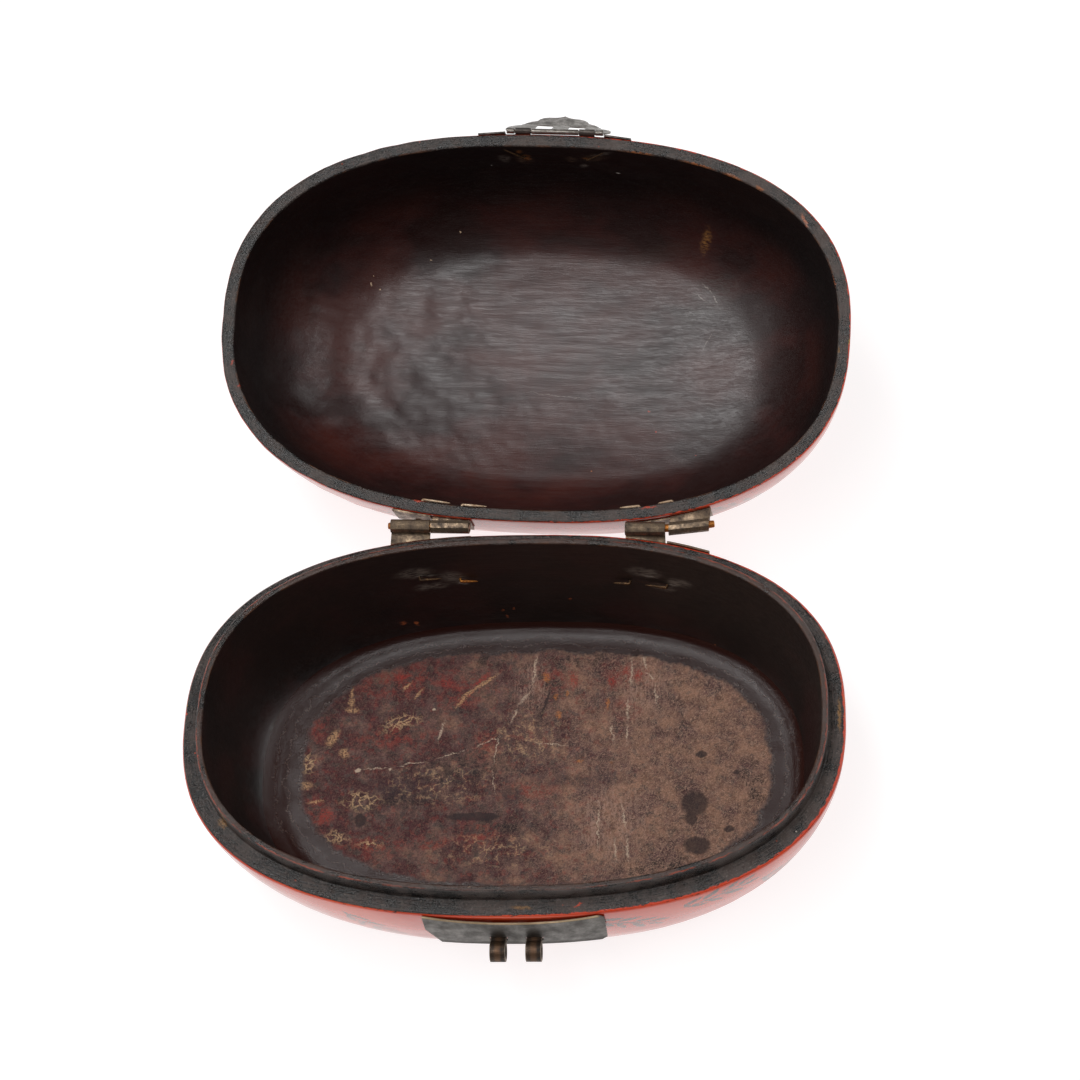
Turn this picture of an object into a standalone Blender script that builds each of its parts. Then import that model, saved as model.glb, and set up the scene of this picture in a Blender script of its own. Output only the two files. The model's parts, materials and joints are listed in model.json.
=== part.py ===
# Oval lacquer jewellery box, standing open: a bowl-shaped base with a flat underside, a
# domed lid laid back until it rests on the table, two rolled sheet-metal hinges, and a
# hasp with two loops. Metres, +Z up, origin at the middle of the underside, back at +Y.
#
# The lid, its fittings and the hasp are modelled where they sit on the closed box. Two
# empties on the hinge axes then swing them open.

import math

import bmesh
import bpy
from mathutils import Matrix, Vector

# The oval seen from above: |x/a|^n + |y/b|^n = 1
HALF_LENGTH = 0.150
HALF_WIDTH = 0.0957
OVAL_POWER = 2.47
OVAL_SIDES = 64
WALL_STEPS = 7

# Base: the outside leans in from the ledge to the underside, like a bowl
BASE_HEIGHT = 0.070
FLOOR_THICKNESS = 0.009
LEDGE_WIDTH = 0.0079
LIP_THICKNESS = 0.0029
LIP_HEIGHT = 0.0095
BASE_LEAN_ENDS = 0.037
BASE_LEAN_SIDES = 0.020
BASE_BULGE_ENDS = 1.65
BASE_BULGE_SIDES = 1.6
FLOOR_LEAN_ENDS = 0.0252
FLOOR_LEAN_SIDES = 0.0132
FLOOR_BULGE = 2.05

# Lid: the same oval at the rim, under a deeper dome with a slight crown
LID_HEIGHT = 0.0887
LID_RIM_WIDTH = 0.006
LID_TOP_THICKNESS = 0.008
LID_CROWN = 0.004
CROWN_SHARES = (0.75, 0.45)
LID_LEAN_ENDS = 0.044
LID_LEAN_SIDES = 0.034
LID_BULGE_ENDS = 1.8
LID_BULGE_SIDES = 2.1
LID_HOLLOW_LEAN_ENDS = 0.046
LID_HOLLOW_LEAN_SIDES = 0.036
LID_HOLLOW_BULGE = 2.2
LID_SEAT_GAP = 0.0004
TABLE_GAP = 0.0003

# Hinges, each leaf rolled from one sheet. Their common axis lies a little askew
# behind the rim.
HINGE_BEHIND_RIM = 0.0027
HINGE_ABOVE_LEDGE = 0.0009
HINGE_SKEW = math.radians(-1.75)
HINGE_SHEET = 0.0008
HINGE_PIN_RADIUS = 0.0020
HINGE_PIN_SLACK = 0.0004
HINGE_PIN_SIDES = 10
KNUCKLE_LENGTH = 0.0185
BASE_LEAF_HEIGHT = 0.030
LID_LEAF_HEIGHT = 0.020
LEAF_RIM_GAP = 0.0006
LEAF_RELIEF = 0.0008
STRAP_LENGTH = 0.006
ROLL_SLIT = 0.00015
ROLL_STEPS = 8
BAR_BEVEL = 0.2
WALL_GAP = 0.0003
# Each clenched pin: where it stands along the hinge, its distance from the ledge or the
# lid's rim, and how far its leg reaches sideways inside
LEFT_HINGE = {"name": "left_hinge", "start": -0.0604, "play": 0.0005, "proud": (0.0014, -0.0004),
              "bent": 0.0, "trimmed": "base",
              "base_pins": ((-0.0495, 0.0165, 0.0125), (-0.0300, 0.0210, 0.0095)),
              "lid_pins": ((-0.0495, 0.0125, 0.0155), (-0.0300, 0.0125, 0.0135))}
RIGHT_HINGE = {"name": "right_hinge", "start": 0.0497, "play": 0.0018, "proud": (-0.0004, 0.0029),
               "bent": math.radians(7.0), "trimmed": "lid",
               "base_pins": ((0.0525, 0.0215, -0.0100), (0.0708, 0.0200, -0.0135)),
               "lid_pins": ((0.0562, 0.0125, -0.0112), (0.0722, 0.0125, -0.0085))}

# Lock: a bowed plate with two loops on the base, and a plate on the lid
LOCK_MIDDLE = 0.0040
PLATE_SHEET = 0.0010
LOCK_PLATE_WIDTH = 0.0795
LOCK_PLATE_HEIGHT = 0.0265
LOCK_PLATE_DROP = 0.0008
LOCK_PLATE_DISH = 0.0035
LOCK_PLATE_BOW = 0.0007
LOCK_CHAMFER_WIDE = 0.006
LOCK_CHAMFER_TALL = 0.013
LOCK_CHAMFER_SMALL = 0.0025
LOCK_DISH_STEPS = 8
LOOP_SPACING = 0.0158
LOOP_WIDTH = 0.0070
LOOP_SHEET = 0.0012
LOOP_SLIT = 0.0003
LOOP_DROP = 0.021
LOOP_REACH = 0.0125
LOOP_EYE_RADIUS = 0.0046
LOOP_LEG = 0.009
LOOP_GAP = 0.0004
LOOP_STEPS = 12
LID_PLATE_SHEET = 0.0008
LID_PLATE_WIDTH = 0.074
LID_PLATE_HEIGHT = 0.0215
LID_PLATE_CHAMFER = 0.006
LID_PLATE_BOW = 0.0006
LID_PLATE_ABOVE_RIM = 0.0006

# Hasp: a cloud-edged flap that hangs over the loops when the box is shut
HASP_WIDTH = 0.051
HASP_LENGTH = 0.045
HASP_SHEET = 0.0006
HASP_PIN_RADIUS = 0.0005
HASP_PIN_SLACK = 0.0003
HASP_PIN_SIDES = 8
HASP_ABOVE_RIM = 0.0025
HASP_OPEN = math.radians(152.2)
HASP_BEND_START = 0.031
HASP_BEND = math.radians(13.0)
HASP_TWIST = 1.0             # turn of the flap, in radians for each metre down
HASP_SHOULDER = 0.0030       # how far below the pin the cloud edge starts
CLOUD_STEPS = 4
TAB_OFFSET = 0.0155
TAB_WIDTH = 0.0074
TAB_GAP = 0.0005
SLOT_WIDTH = 0.0082
SLOT_LENGTH = 0.0145
SLOT_START = 0.0155

# Clenched pins: a domed head outside, a shank through the wall, a leg bent over inside
PIN_HEAD_RADIUS = 0.0022
PIN_HEAD_HEIGHT = 0.0012
PIN_DOME = ((1.0, 0.35), (0.7, 0.8), (0.0, 1.0))
PIN_SHANK_RADIUS = 0.0009
PIN_GAP = 0.0004
PIN_SIDES = 6
BORE_OVERRUN = 0.003
LEG_SLOPE = -0.001
LEG_BEND_OUT = 0.42
LEG_BEND_LENGTH = 1.6
LEG_TIP = 0.55
LID_LEG_OFF_WALL = 0.0016
LID_PLATE_PIN_OFFSET = 0.0155
LID_PLATE_PIN_RISE = 0.0135
LID_PLATE_LEG = (0.0095, -0.0120)
LID_PLATE_SHANK_RADIUS = 0.0006

RED_LACQUER = ("red_lacquer", (0.60, 0.060, 0.022), 0.0, 0.22)
BRONZE = ("patinated_bronze", (0.085, 0.070, 0.045), 0.9, 0.55)
GREY_METAL = ("tarnished_white_metal", (0.17, 0.16, 0.15), 0.9, 0.45)
IRON = ("brown_iron", (0.055, 0.035, 0.022), 0.85, 0.5)
BRASS = ("dull_brass", (0.42, 0.22, 0.07), 0.9, 0.4)

LID_RIM_Z = BASE_HEIGHT + LID_SEAT_GAP
LID_SIDE = LID_HEIGHT - LID_CROWN
LID_HOLLOW = LID_SIDE - LID_TOP_THICKNESS
HINGE_POINT = Vector((0.0, HALF_WIDTH + HINGE_BEHIND_RIM, BASE_HEIGHT + HINGE_ABOVE_LEDGE))
HINGE_AXIS = Vector((math.cos(HINGE_SKEW), math.sin(HINGE_SKEW), 0.0))
HINGE_OUT = Vector((-HINGE_AXIS.y, HINGE_AXIS.x, 0.0))
HINGE_ROLL = HINGE_PIN_RADIUS + HINGE_PIN_SLACK + HINGE_SHEET / 2
HASP_ROLL = HASP_PIN_RADIUS + HASP_PIN_SLACK + HASP_SHEET / 2
PLATE_ROLL = HASP_PIN_RADIUS + HASP_PIN_SLACK + LID_PLATE_SHEET / 2
HASP_BEFORE_RIM = WALL_GAP + LID_PLATE_BOW + LID_PLATE_SHEET / 2 + PLATE_ROLL
HASP_POINT = Vector((LOCK_MIDDLE, -HALF_WIDTH - HASP_BEFORE_RIM, LID_RIM_Z + HASP_ABOVE_RIM))
UP = Vector((0.0, 0.0, 1.0))


def lean(depth, full_depth, bulge):
    """Share of the full lean reached at a depth: 0 at the rim, 1 at the end."""
    t = min(max(depth / full_depth, 0.0), 1.0)
    return 1.0 - (1.0 - t ** bulge) ** (1.0 / bulge)


# Each wall gives the oval's half axes at a height
def base_outside(z):
    depth = BASE_HEIGHT - z
    return (HALF_LENGTH - BASE_LEAN_ENDS * lean(depth, BASE_HEIGHT, BASE_BULGE_ENDS),
            HALF_WIDTH - BASE_LEAN_SIDES * lean(depth, BASE_HEIGHT, BASE_BULGE_SIDES))


def base_inside(z):
    share = lean(BASE_HEIGHT - z, BASE_HEIGHT - FLOOR_THICKNESS, FLOOR_BULGE)
    rim = LEDGE_WIDTH + LIP_THICKNESS
    return HALF_LENGTH - rim - FLOOR_LEAN_ENDS * share, HALF_WIDTH - rim - FLOOR_LEAN_SIDES * share


def lid_outside(z):
    depth = z - LID_RIM_Z
    return (HALF_LENGTH - LID_LEAN_ENDS * lean(depth, LID_SIDE, LID_BULGE_ENDS),
            HALF_WIDTH - LID_LEAN_SIDES * lean(depth, LID_SIDE, LID_BULGE_SIDES))


def lid_inside(z):
    share = lean(z - LID_RIM_Z, LID_HOLLOW, LID_HOLLOW_BULGE)
    return (HALF_LENGTH - LID_RIM_WIDTH - LID_HOLLOW_LEAN_ENDS * share,
            HALF_WIDTH - LID_RIM_WIDTH - LID_HOLLOW_LEAN_SIDES * share)


def oval_ring(half_axes, z):
    a, b = half_axes
    ring = []
    for i in range(OVAL_SIDES):
        turn = 2.0 * math.pi * i / OVAL_SIDES
        c, s = math.cos(turn), math.sin(turn)
        x = math.copysign(abs(c) ** (2.0 / OVAL_POWER), c) * a
        y = math.copysign(abs(s) ** (2.0 / OVAL_POWER), s) * b
        ring.append(Vector((x, y, z)))
    return ring


def on_wall(wall, x, z, side, offset=0.0):
    """A point of a wall moved along its normal in plan, and that normal. side is +1
    at the back and -1 at the front."""
    a, b = wall(z)
    y = b * (1.0 - abs(x / a) ** OVAL_POWER) ** (1.0 / OVAL_POWER)
    normal = Vector((math.copysign(abs(x / a) ** (OVAL_POWER - 1.0) / a, x),
                     side * (y / b) ** (OVAL_POWER - 1.0) / b, 0.0)).normalized()
    return Vector((x, side * y, z)) + normal * offset, normal


def get_material(finish):
    name, colour, metallic, roughness = finish
    material = bpy.data.materials.get(name) or bpy.data.materials.new(name)
    material.use_nodes = True
    shader = material.node_tree.nodes["Principled BSDF"]
    shader.inputs["Base Color"].default_value = (*colour, 1.0)
    shader.inputs["Metallic"].default_value = metallic
    shader.inputs["Roughness"].default_value = roughness
    return material


def make_object(name, bm, finish, pivot=None):
    """A node from a mesh in closed-box coordinates, hung on a pivot if it moves."""
    bmesh.ops.recalc_face_normals(bm, faces=bm.faces)
    if bm.calc_volume(signed=True) < 0.0:
        bmesh.ops.reverse_faces(bm, faces=bm.faces)
    mesh = bpy.data.meshes.new(name)
    bm.to_mesh(mesh)
    bm.free()
    mesh.materials.append(get_material(finish))
    mesh.shade_smooth()
    mesh.set_sharp_from_angle(angle=math.radians(35.0))
    obj = bpy.data.objects.new(name, mesh)
    bpy.context.collection.objects.link(obj)
    if pivot is not None:
        obj.parent = pivot["empty"]
        obj.location = -pivot["point"]
    return obj


def make_pivot(name, point, axis, angle, parent=None):
    """An empty on a joint's axis, turned from the closed place to the rest place."""
    empty = bpy.data.objects.new(name, None)
    bpy.context.collection.objects.link(empty)
    shift = point
    if parent is not None:
        empty.parent = parent["empty"]
        shift = point - parent["point"]
    empty.matrix_basis = Matrix.Translation(shift) @ Matrix.Rotation(angle, 4, axis)
    return {"empty": empty, "point": point}


def loft(rings):
    """Join rings of points, all of one length, into a closed skin with flat ends."""
    bm = bmesh.new()
    rows = [[bm.verts.new(point) for point in ring] for ring in rings]
    count = len(rings[0])
    for low, high in zip(rows, rows[1:]):
        for i in range(count):
            j = (i + 1) % count
            bm.faces.new((low[i], low[j], high[j], high[i]))
    bm.faces.new(list(reversed(rows[0])))
    bm.faces.new(rows[-1])
    return bm


def heights(low, high, steps):
    """Heights that crowd towards low, where a wall turns into a flat."""
    return [high - (high - low) * math.sin(0.5 * math.pi * i / steps) for i in range(steps + 1)]


def bent_sheet(outline, u_lines, v_lines, windows, thickness, place):
    """A flat sheet cut to an outline, with square windows, creased along the lines and
    bent. place(u, v) gives a point of its middle and the way its face looks there."""
    flat = bmesh.new()
    flat.faces.new([flat.verts.new((u, v, 0.0)) for u, v in outline])
    cuts_u = list(u_lines)
    cuts_v = list(v_lines)
    for u0, u1, v0, v1 in windows:
        cuts_u += [u0, u1]
        cuts_v += [v0, v1]
    for cut, normal in [(Vector((u, 0, 0)), Vector((1, 0, 0))) for u in cuts_u] + \
                       [(Vector((0, v, 0)), Vector((0, 1, 0))) for v in cuts_v]:
        bmesh.ops.bisect_plane(flat, geom=flat.verts[:] + flat.edges[:] + flat.faces[:],
                               dist=1e-7, plane_co=cut, plane_no=normal)
    holes = []
    for face in flat.faces:
        middle = face.calc_center_median()
        if any(u0 < middle.x < u1 and v0 < middle.y < v1 for u0, u1, v0, v1 in windows):
            holes.append(face)
    bmesh.ops.delete(flat, geom=holes, context="FACES")
    bmesh.ops.triangulate(flat, faces=flat.faces)
    solid = bmesh.new()
    front = {}
    back = {}
    for vert in flat.verts:
        middle, look = place(vert.co.x, vert.co.y)
        front[vert] = solid.verts.new(middle + look * (thickness / 2))
        back[vert] = solid.verts.new(middle - look * (thickness / 2))
    for face in flat.faces:
        solid.faces.new([front[v] for v in face.verts])
        solid.faces.new([back[v] for v in reversed(face.verts)])
        for loop in face.loops:
            if loop.edge.is_boundary:
                a, b = loop.vert, loop.link_loop_next.vert
                solid.faces.new((front[b], front[a], back[a], back[b]))
    flat.free()
    return solid


def roll_end(roll, sheet):
    """The turn at which a rolled knuckle's end comes back to its own strap."""
    return 2.0 * math.pi - math.acos((roll - sheet / 2 - ROLL_SLIT) / (roll + sheet / 2))


def roll_lines(roll, sheet, start):
    turn = roll_end(roll, sheet)
    return ([start + roll * turn * i / ROLL_STEPS for i in range(ROLL_STEPS)], start + roll * turn)


def axis_point(x):
    """The point of the hinge axis at this x."""
    return HINGE_POINT + HINGE_AXIS * (x / HINGE_AXIS.x)


def lid_knuckle_line(hinge):
    """Where the lid's half of a hinge pin starts, and the way it runs."""
    start = axis_point(hinge["start"] + KNUCKLE_LENGTH + hinge["play"] / 2)
    return start, HINGE_AXIS * math.cos(hinge["bent"]) - HINGE_OUT * math.sin(hinge["bent"])


def make_leaf(name, hinge, on_lid, pivot):
    """One hinge leaf: a plate on the wall, a strap bent out from its edge, and a knuckle
    rolled round the pin. The lid's leaf is the base's leaf turned over."""
    up = -1.0 if on_lid else 1.0
    wall = lid_outside if on_lid else base_outside
    height = LID_LEAF_HEIGHT if on_lid else BASE_LEAF_HEIGHT
    pins = hinge["lid_pins"] if on_lid else hinge["base_pins"]
    first = hinge["start"]
    last = first + 2 * KNUCKLE_LENGTH + hinge["play"]
    tab = (last - KNUCKLE_LENGTH, last) if on_lid else (first, first + KNUCKLE_LENGTH)
    bend_z = HINGE_POINT.z - up * HINGE_ROLL
    rim_z = LID_RIM_Z if on_lid else BASE_HEIGHT
    free_edge = up * (rim_z - bend_z) - LEAF_RIM_GAP
    edge = tab[0] if on_lid else tab[1]
    away = -LEAF_RELIEF if on_lid else LEAF_RELIEF
    lines, tip = roll_lines(HINGE_ROLL, HINGE_SHEET, STRAP_LENGTH)
    trimmed = hinge["trimmed"] == ("lid" if on_lid else "base")
    far = first if on_lid else last
    if trimmed:
        shoulder = [(far, -LEAF_RELIEF), (edge, -LEAF_RELIEF)]
    else:
        shoulder = [(far, free_edge), (edge + away, free_edge), (edge + away, -LEAF_RELIEF),
                    (edge, -LEAF_RELIEF)]
    near = last if on_lid else first
    outline = [(near, -height), (far, -height)] + shoulder + [(edge, tip), (near, tip)]
    if on_lid:
        outline.reverse()
    hole = PIN_SHANK_RADIUS + PIN_GAP
    windows = []
    for x, from_rim, _ in pins:
        pin_v = up * (rim_z - up * from_rim - bend_z)
        windows.append((x - hole, x + hole, pin_v - hole, pin_v + hole))
    columns = [first + (last - first) * i / 4 for i in range(1, 4)]

    def place(u, v):
        in_tab = tab[0] - 1e-6 <= u <= tab[1] + 1e-6
        point, normal = on_wall(wall, u, bend_z + up * min(v, 0.0 if in_tab else v), 1.0,
                                WALL_GAP + HINGE_SHEET / 2)
        if not in_tab or v < -1e-6:
            return point, normal
        axis = axis_point(u)
        if on_lid:
            knee, way = lid_knuckle_line(hinge)
            axis = knee + way * ((u - knee.x) / way.x)
        down = -UP * up
        if v < 1e-6:
            return point, normal + down
        if v <= STRAP_LENGTH + 1e-6:
            return point.lerp(axis + down * HINGE_ROLL, v / STRAP_LENGTH), down
        turn = (v - STRAP_LENGTH) / HINGE_ROLL
        radial = down * math.cos(turn) + HINGE_OUT * math.sin(turn)
        return axis + radial * HINGE_ROLL, radial

    bm = bent_sheet(outline, columns, [0.0, -height / 2] + lines, windows, HINGE_SHEET, place)
    return make_object(name, bm, BRONZE, pivot)


def ring_round(point, along, across, radius, sides):
    """A ring of points round a place on a bar."""
    over = along.cross(across)
    return [point + (across * math.cos(t) + over * math.sin(t)) * radius
            for t in (2.0 * math.pi * i / sides for i in range(sides))]


def round_bar(name, points, radius, sides, finish, pivot):
    """A round bar through points in one level plane, with bevelled ends."""
    bevel = BAR_BEVEL * radius
    way_in = (points[1] - points[0]).normalized()
    way_out = (points[-1] - points[-2]).normalized()
    stations = [(points[0], way_in, radius - bevel), (points[0] + way_in * bevel, way_in, radius)]
    stations += [(point, (way_in + way_out).normalized(), radius) for point in points[1:-1]]
    stations += [(points[-1] - way_out * bevel, way_out, radius), (points[-1], way_out, radius - bevel)]
    rings = [ring_round(point, way, UP, r, sides) for point, way, r in stations]
    return make_object(name, loft(rings), finish, pivot)


def make_base():
    outer = [oval_ring(base_outside(z), z) for z in reversed(heights(0.0, BASE_HEIGHT, WALL_STEPS))]
    ledge = oval_ring((HALF_LENGTH - LEDGE_WIDTH, HALF_WIDTH - LEDGE_WIDTH), BASE_HEIGHT)
    lip_top = BASE_HEIGHT + LIP_HEIGHT
    lip_outer = oval_ring((HALF_LENGTH - LEDGE_WIDTH, HALF_WIDTH - LEDGE_WIDTH), lip_top)
    lip_inner = oval_ring(base_inside(lip_top), lip_top)
    inner = [oval_ring(base_inside(z), z) for z in heights(FLOOR_THICKNESS, BASE_HEIGHT, WALL_STEPS)]
    return make_object("base_body", loft(outer + [ledge, lip_outer, lip_inner] + inner), RED_LACQUER)


def crown_rings(half_axes, low):
    """Shrinking rings over the flat of the lid, so that its top swells a little."""
    a, b = half_axes
    return [oval_ring((a * k, b * k), low + LID_CROWN * (1.0 - k * k)) for k in CROWN_SHARES]


def lid_outer_rings():
    side_top = LID_RIM_Z + LID_SIDE
    walls = [oval_ring(lid_outside(z), z)
             for z in (2 * LID_RIM_Z + LID_SIDE - h for h in heights(LID_RIM_Z, side_top, WALL_STEPS))]
    return walls + crown_rings(lid_outside(side_top), side_top)


def lid_inner_rings():
    top = LID_RIM_Z + LID_HOLLOW
    walls = [oval_ring(lid_inside(z), z)
             for z in (2 * LID_RIM_Z + LID_HOLLOW - h for h in heights(LID_RIM_Z, top, WALL_STEPS))]
    return walls + crown_rings(lid_inside(top), top)


def opening_angle():
    """How far the lid swings back before its dome comes down to the table."""
    points = [point for ring in lid_outer_rings() for point in ring]
    shut, flat = math.radians(90.0), math.radians(200.0)
    for _ in range(40):
        angle = 0.5 * (shut + flat)
        turn = Matrix.Rotation(-angle, 3, HINGE_AXIS)
        lowest = min((turn @ (point - HINGE_POINT)).z for point in points) + HINGE_POINT.z
        if lowest > TABLE_GAP:
            shut = angle
        else:
            flat = angle
    return shut


def make_lid(pivot):
    rings = list(reversed(lid_outer_rings())) + lid_inner_rings()
    return make_object("lid_body", loft(rings), RED_LACQUER, pivot)


def make_lock_plate():
    """The base's plate: its top edge dips in the middle and it bows clear of the wall."""
    half = LOCK_PLATE_WIDTH / 2
    top = []
    for i in range(LOCK_DISH_STEPS + 1):
        u = half - LOCK_CHAMFER_SMALL - (LOCK_PLATE_WIDTH - LOCK_CHAMFER_SMALL) * i / LOCK_DISH_STEPS
        top.append((u, -LOCK_PLATE_DISH * (1.0 - (u / half) ** 2)))
    outline = [(-half, -LOCK_PLATE_HEIGHT + LOCK_CHAMFER_TALL),
               (-half + LOCK_CHAMFER_WIDE, -LOCK_PLATE_HEIGHT),
               (half - LOCK_CHAMFER_SMALL, -LOCK_PLATE_HEIGHT),
               (half, -LOCK_PLATE_HEIGHT + LOCK_CHAMFER_SMALL), (half, -LOCK_CHAMFER_SMALL)] + top
    windows = []
    for side in (-1, 1):
        u = side * LOOP_SPACING / 2
        wide = LOOP_WIDTH / 2 + LOOP_GAP
        tall = LOOP_SHEET + LOOP_SLIT / 2 + LOOP_GAP
        v = LOCK_PLATE_DROP - LOOP_DROP
        windows.append((u - wide, u + wide, v - tall, v + tall))

    def place(u, v):
        bow = LOCK_PLATE_BOW * (1.0 - (u / half) ** 2)
        point, normal = on_wall(base_outside, LOCK_MIDDLE + u, BASE_HEIGHT, -1.0,
                                WALL_GAP + PLATE_SHEET / 2 + bow)
        point.z = BASE_HEIGHT - LOCK_PLATE_DROP + v
        return point, normal

    columns = [half * i / 5 for i in range(-4, 5)]
    bm = bent_sheet(outline, columns, [], windows, PLATE_SHEET, place)
    return make_object("lock_plate", bm, GREY_METAL)


def thick_path(path, thickness):
    """The outline of a strip that follows a path in a plane, mitred at its corners."""
    left = []
    right = []
    for i, point in enumerate(path):
        before = (point - path[i - 1]).normalized() if i > 0 else None
        after = (path[i + 1] - point).normalized() if i < len(path) - 1 else None
        way_in = before or after
        way_out = after or before
        normal_in = Vector((-way_in.y, way_in.x))
        normal_out = Vector((-way_out.y, way_out.x))
        mitre = (normal_in + normal_out).normalized()
        mitre *= (thickness / 2) / mitre.dot(normal_in)
        left.append(point + mitre)
        right.append(point - mitre)
    return left + list(reversed(right))


def make_loop(name, x):
    """One strip folded into an eye: both ends go through the plate and the wall, and
    are bent apart inside."""
    z = BASE_HEIGHT - LOOP_DROP
    neck = LOOP_SHEET / 2 + LOOP_SLIT / 2
    radius = LOOP_EYE_RADIUS - LOOP_SHEET / 2
    outer = on_wall(base_outside, x, BASE_HEIGHT, -1.0)[0].y
    eye = outer - LOOP_REACH + LOOP_EYE_RADIUS
    first = math.asin(neck / radius)
    half_path = []
    for share in (1.0, 0.0):
        leg_z = z + neck + (LOOP_LEG - neck) * share
        inner = max(on_wall(base_inside, x + dx, leg_z, -1.0)[0].y for dx in
                    (-LOOP_WIDTH / 2, LOOP_WIDTH / 2))
        half_path.append(Vector((inner + WALL_GAP + LOOP_SHEET / 2, leg_z)))
    for i in range(LOOP_STEPS + 1):
        turn = first + (math.pi - first) * i / LOOP_STEPS
        half_path.append(Vector((eye + radius * math.cos(turn), z + radius * math.sin(turn))))
    other = []
    for point in reversed(half_path[:-1]):
        other.append(Vector((point.x, 2 * z - point.y)))
    inner_low = max(on_wall(base_inside, x + dx, z - LOOP_LEG, -1.0)[0].y for dx in
                    (-LOOP_WIDTH / 2, LOOP_WIDTH / 2))
    other[-1].x = other[-2].x = inner_low + WALL_GAP + LOOP_SHEET / 2
    outline = thick_path(half_path + other, LOOP_SHEET)
    rings = [[Vector((x + side * LOOP_WIDTH / 2, p.x, p.y)) for p in outline] for side in (-1, 1)]
    return make_object(name, loft(rings), IRON)


def make_lid_plate(pivot):
    """The lid's plate, with two tabs rolled round the hasp's pin. It comes down to the
    rim at both ends, and it is cut away for the hasp's own knuckles."""
    half = LID_PLATE_WIDTH / 2
    cut = LID_PLATE_CHAMFER
    lines, tip = roll_lines(PLATE_ROLL, LID_PLATE_SHEET, 0.0)
    notch = -(HASP_ROLL + HASP_SHEET / 2 + TAB_GAP)
    inner, outer = TAB_OFFSET - TAB_WIDTH / 2, TAB_OFFSET + TAB_WIDTH / 2
    end = outer + TAB_WIDTH / 2 + 2 * TAB_GAP
    low = HASP_ABOVE_RIM - LID_PLATE_ABOVE_RIM
    right = [(half - cut, -LID_PLATE_HEIGHT), (half, -LID_PLATE_HEIGHT + cut), (half, low), (end, low),
             (end, notch), (outer, notch), (outer, tip), (inner, tip), (inner, notch)]
    outline = right + [(-u, v) for u, v in reversed(right)]
    hole = PIN_SHANK_RADIUS + PIN_GAP
    pin_v = HASP_ABOVE_RIM - LID_PLATE_PIN_RISE
    windows = [(side * LID_PLATE_PIN_OFFSET - hole, side * LID_PLATE_PIN_OFFSET + hole,
                pin_v - hole, pin_v + hole) for side in (-1, 1)]

    def place(u, v):
        if v < 1e-6 or abs(u) > outer + 1e-6:
            bow = LID_PLATE_BOW * min(1.0, (half - abs(u)) / (half - end))
            point, normal = on_wall(lid_outside, LOCK_MIDDLE + u, HASP_POINT.z - v, -1.0,
                                    WALL_GAP + LID_PLATE_SHEET / 2 + bow)
            return point, -normal
        turn = v / PLATE_ROLL
        radial = Vector((0.0, math.cos(turn), -math.sin(turn)))
        return HASP_POINT + Vector((u, 0.0, 0.0)) + radial * PLATE_ROLL, radial

    columns = [half * i / 4 for i in range(-3, 4)]
    bm = bent_sheet(outline, columns, [0.0, -LID_PLATE_HEIGHT / 2] + lines[1:], windows,
                    LID_PLATE_SHEET, place)
    return make_object("lid_plate", bm, GREY_METAL, pivot)


def arc_between(start, end, rise, steps):
    """Points of an arc from start to end, whose middle stands off the chord by rise."""
    chord = end - start
    normal = Vector((chord.y, -chord.x)).normalized()
    radius = (chord.length ** 2 / 4 + rise ** 2) / (2 * abs(rise))
    half_turn = math.asin(min(1.0, chord.length / 2 / radius))
    centre = (start + end) / 2 + normal * (rise - math.copysign(radius, rise))
    points = []
    for i in range(steps):
        turn = half_turn * (2.0 * i / steps - 1.0)
        across = chord.normalized() * radius * math.sin(turn)
        points.append(centre + across + normal * math.copysign(radius * math.cos(turn), rise))
    return points


def cloud_edge():
    """The right half of the hasp's lower edge, from the tip up to the wing."""
    w, h = HASP_WIDTH / 2, HASP_LENGTH
    corners = [(0.0, -h), (0.20 * w, -0.93 * h), (0.50 * w, -0.80 * h), (0.78 * w, -0.58 * h),
               (w, -0.34 * h), (0.90 * w, -0.14 * h)]
    rises = (-0.0006, 0.0020, 0.0019, 0.0016, 0.0012)
    edge = []
    for i, rise in enumerate(rises):
        edge += arc_between(Vector(corners[i]), Vector(corners[i + 1]), rise, CLOUD_STEPS)
    return edge + [Vector(corners[-1])]


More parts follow.
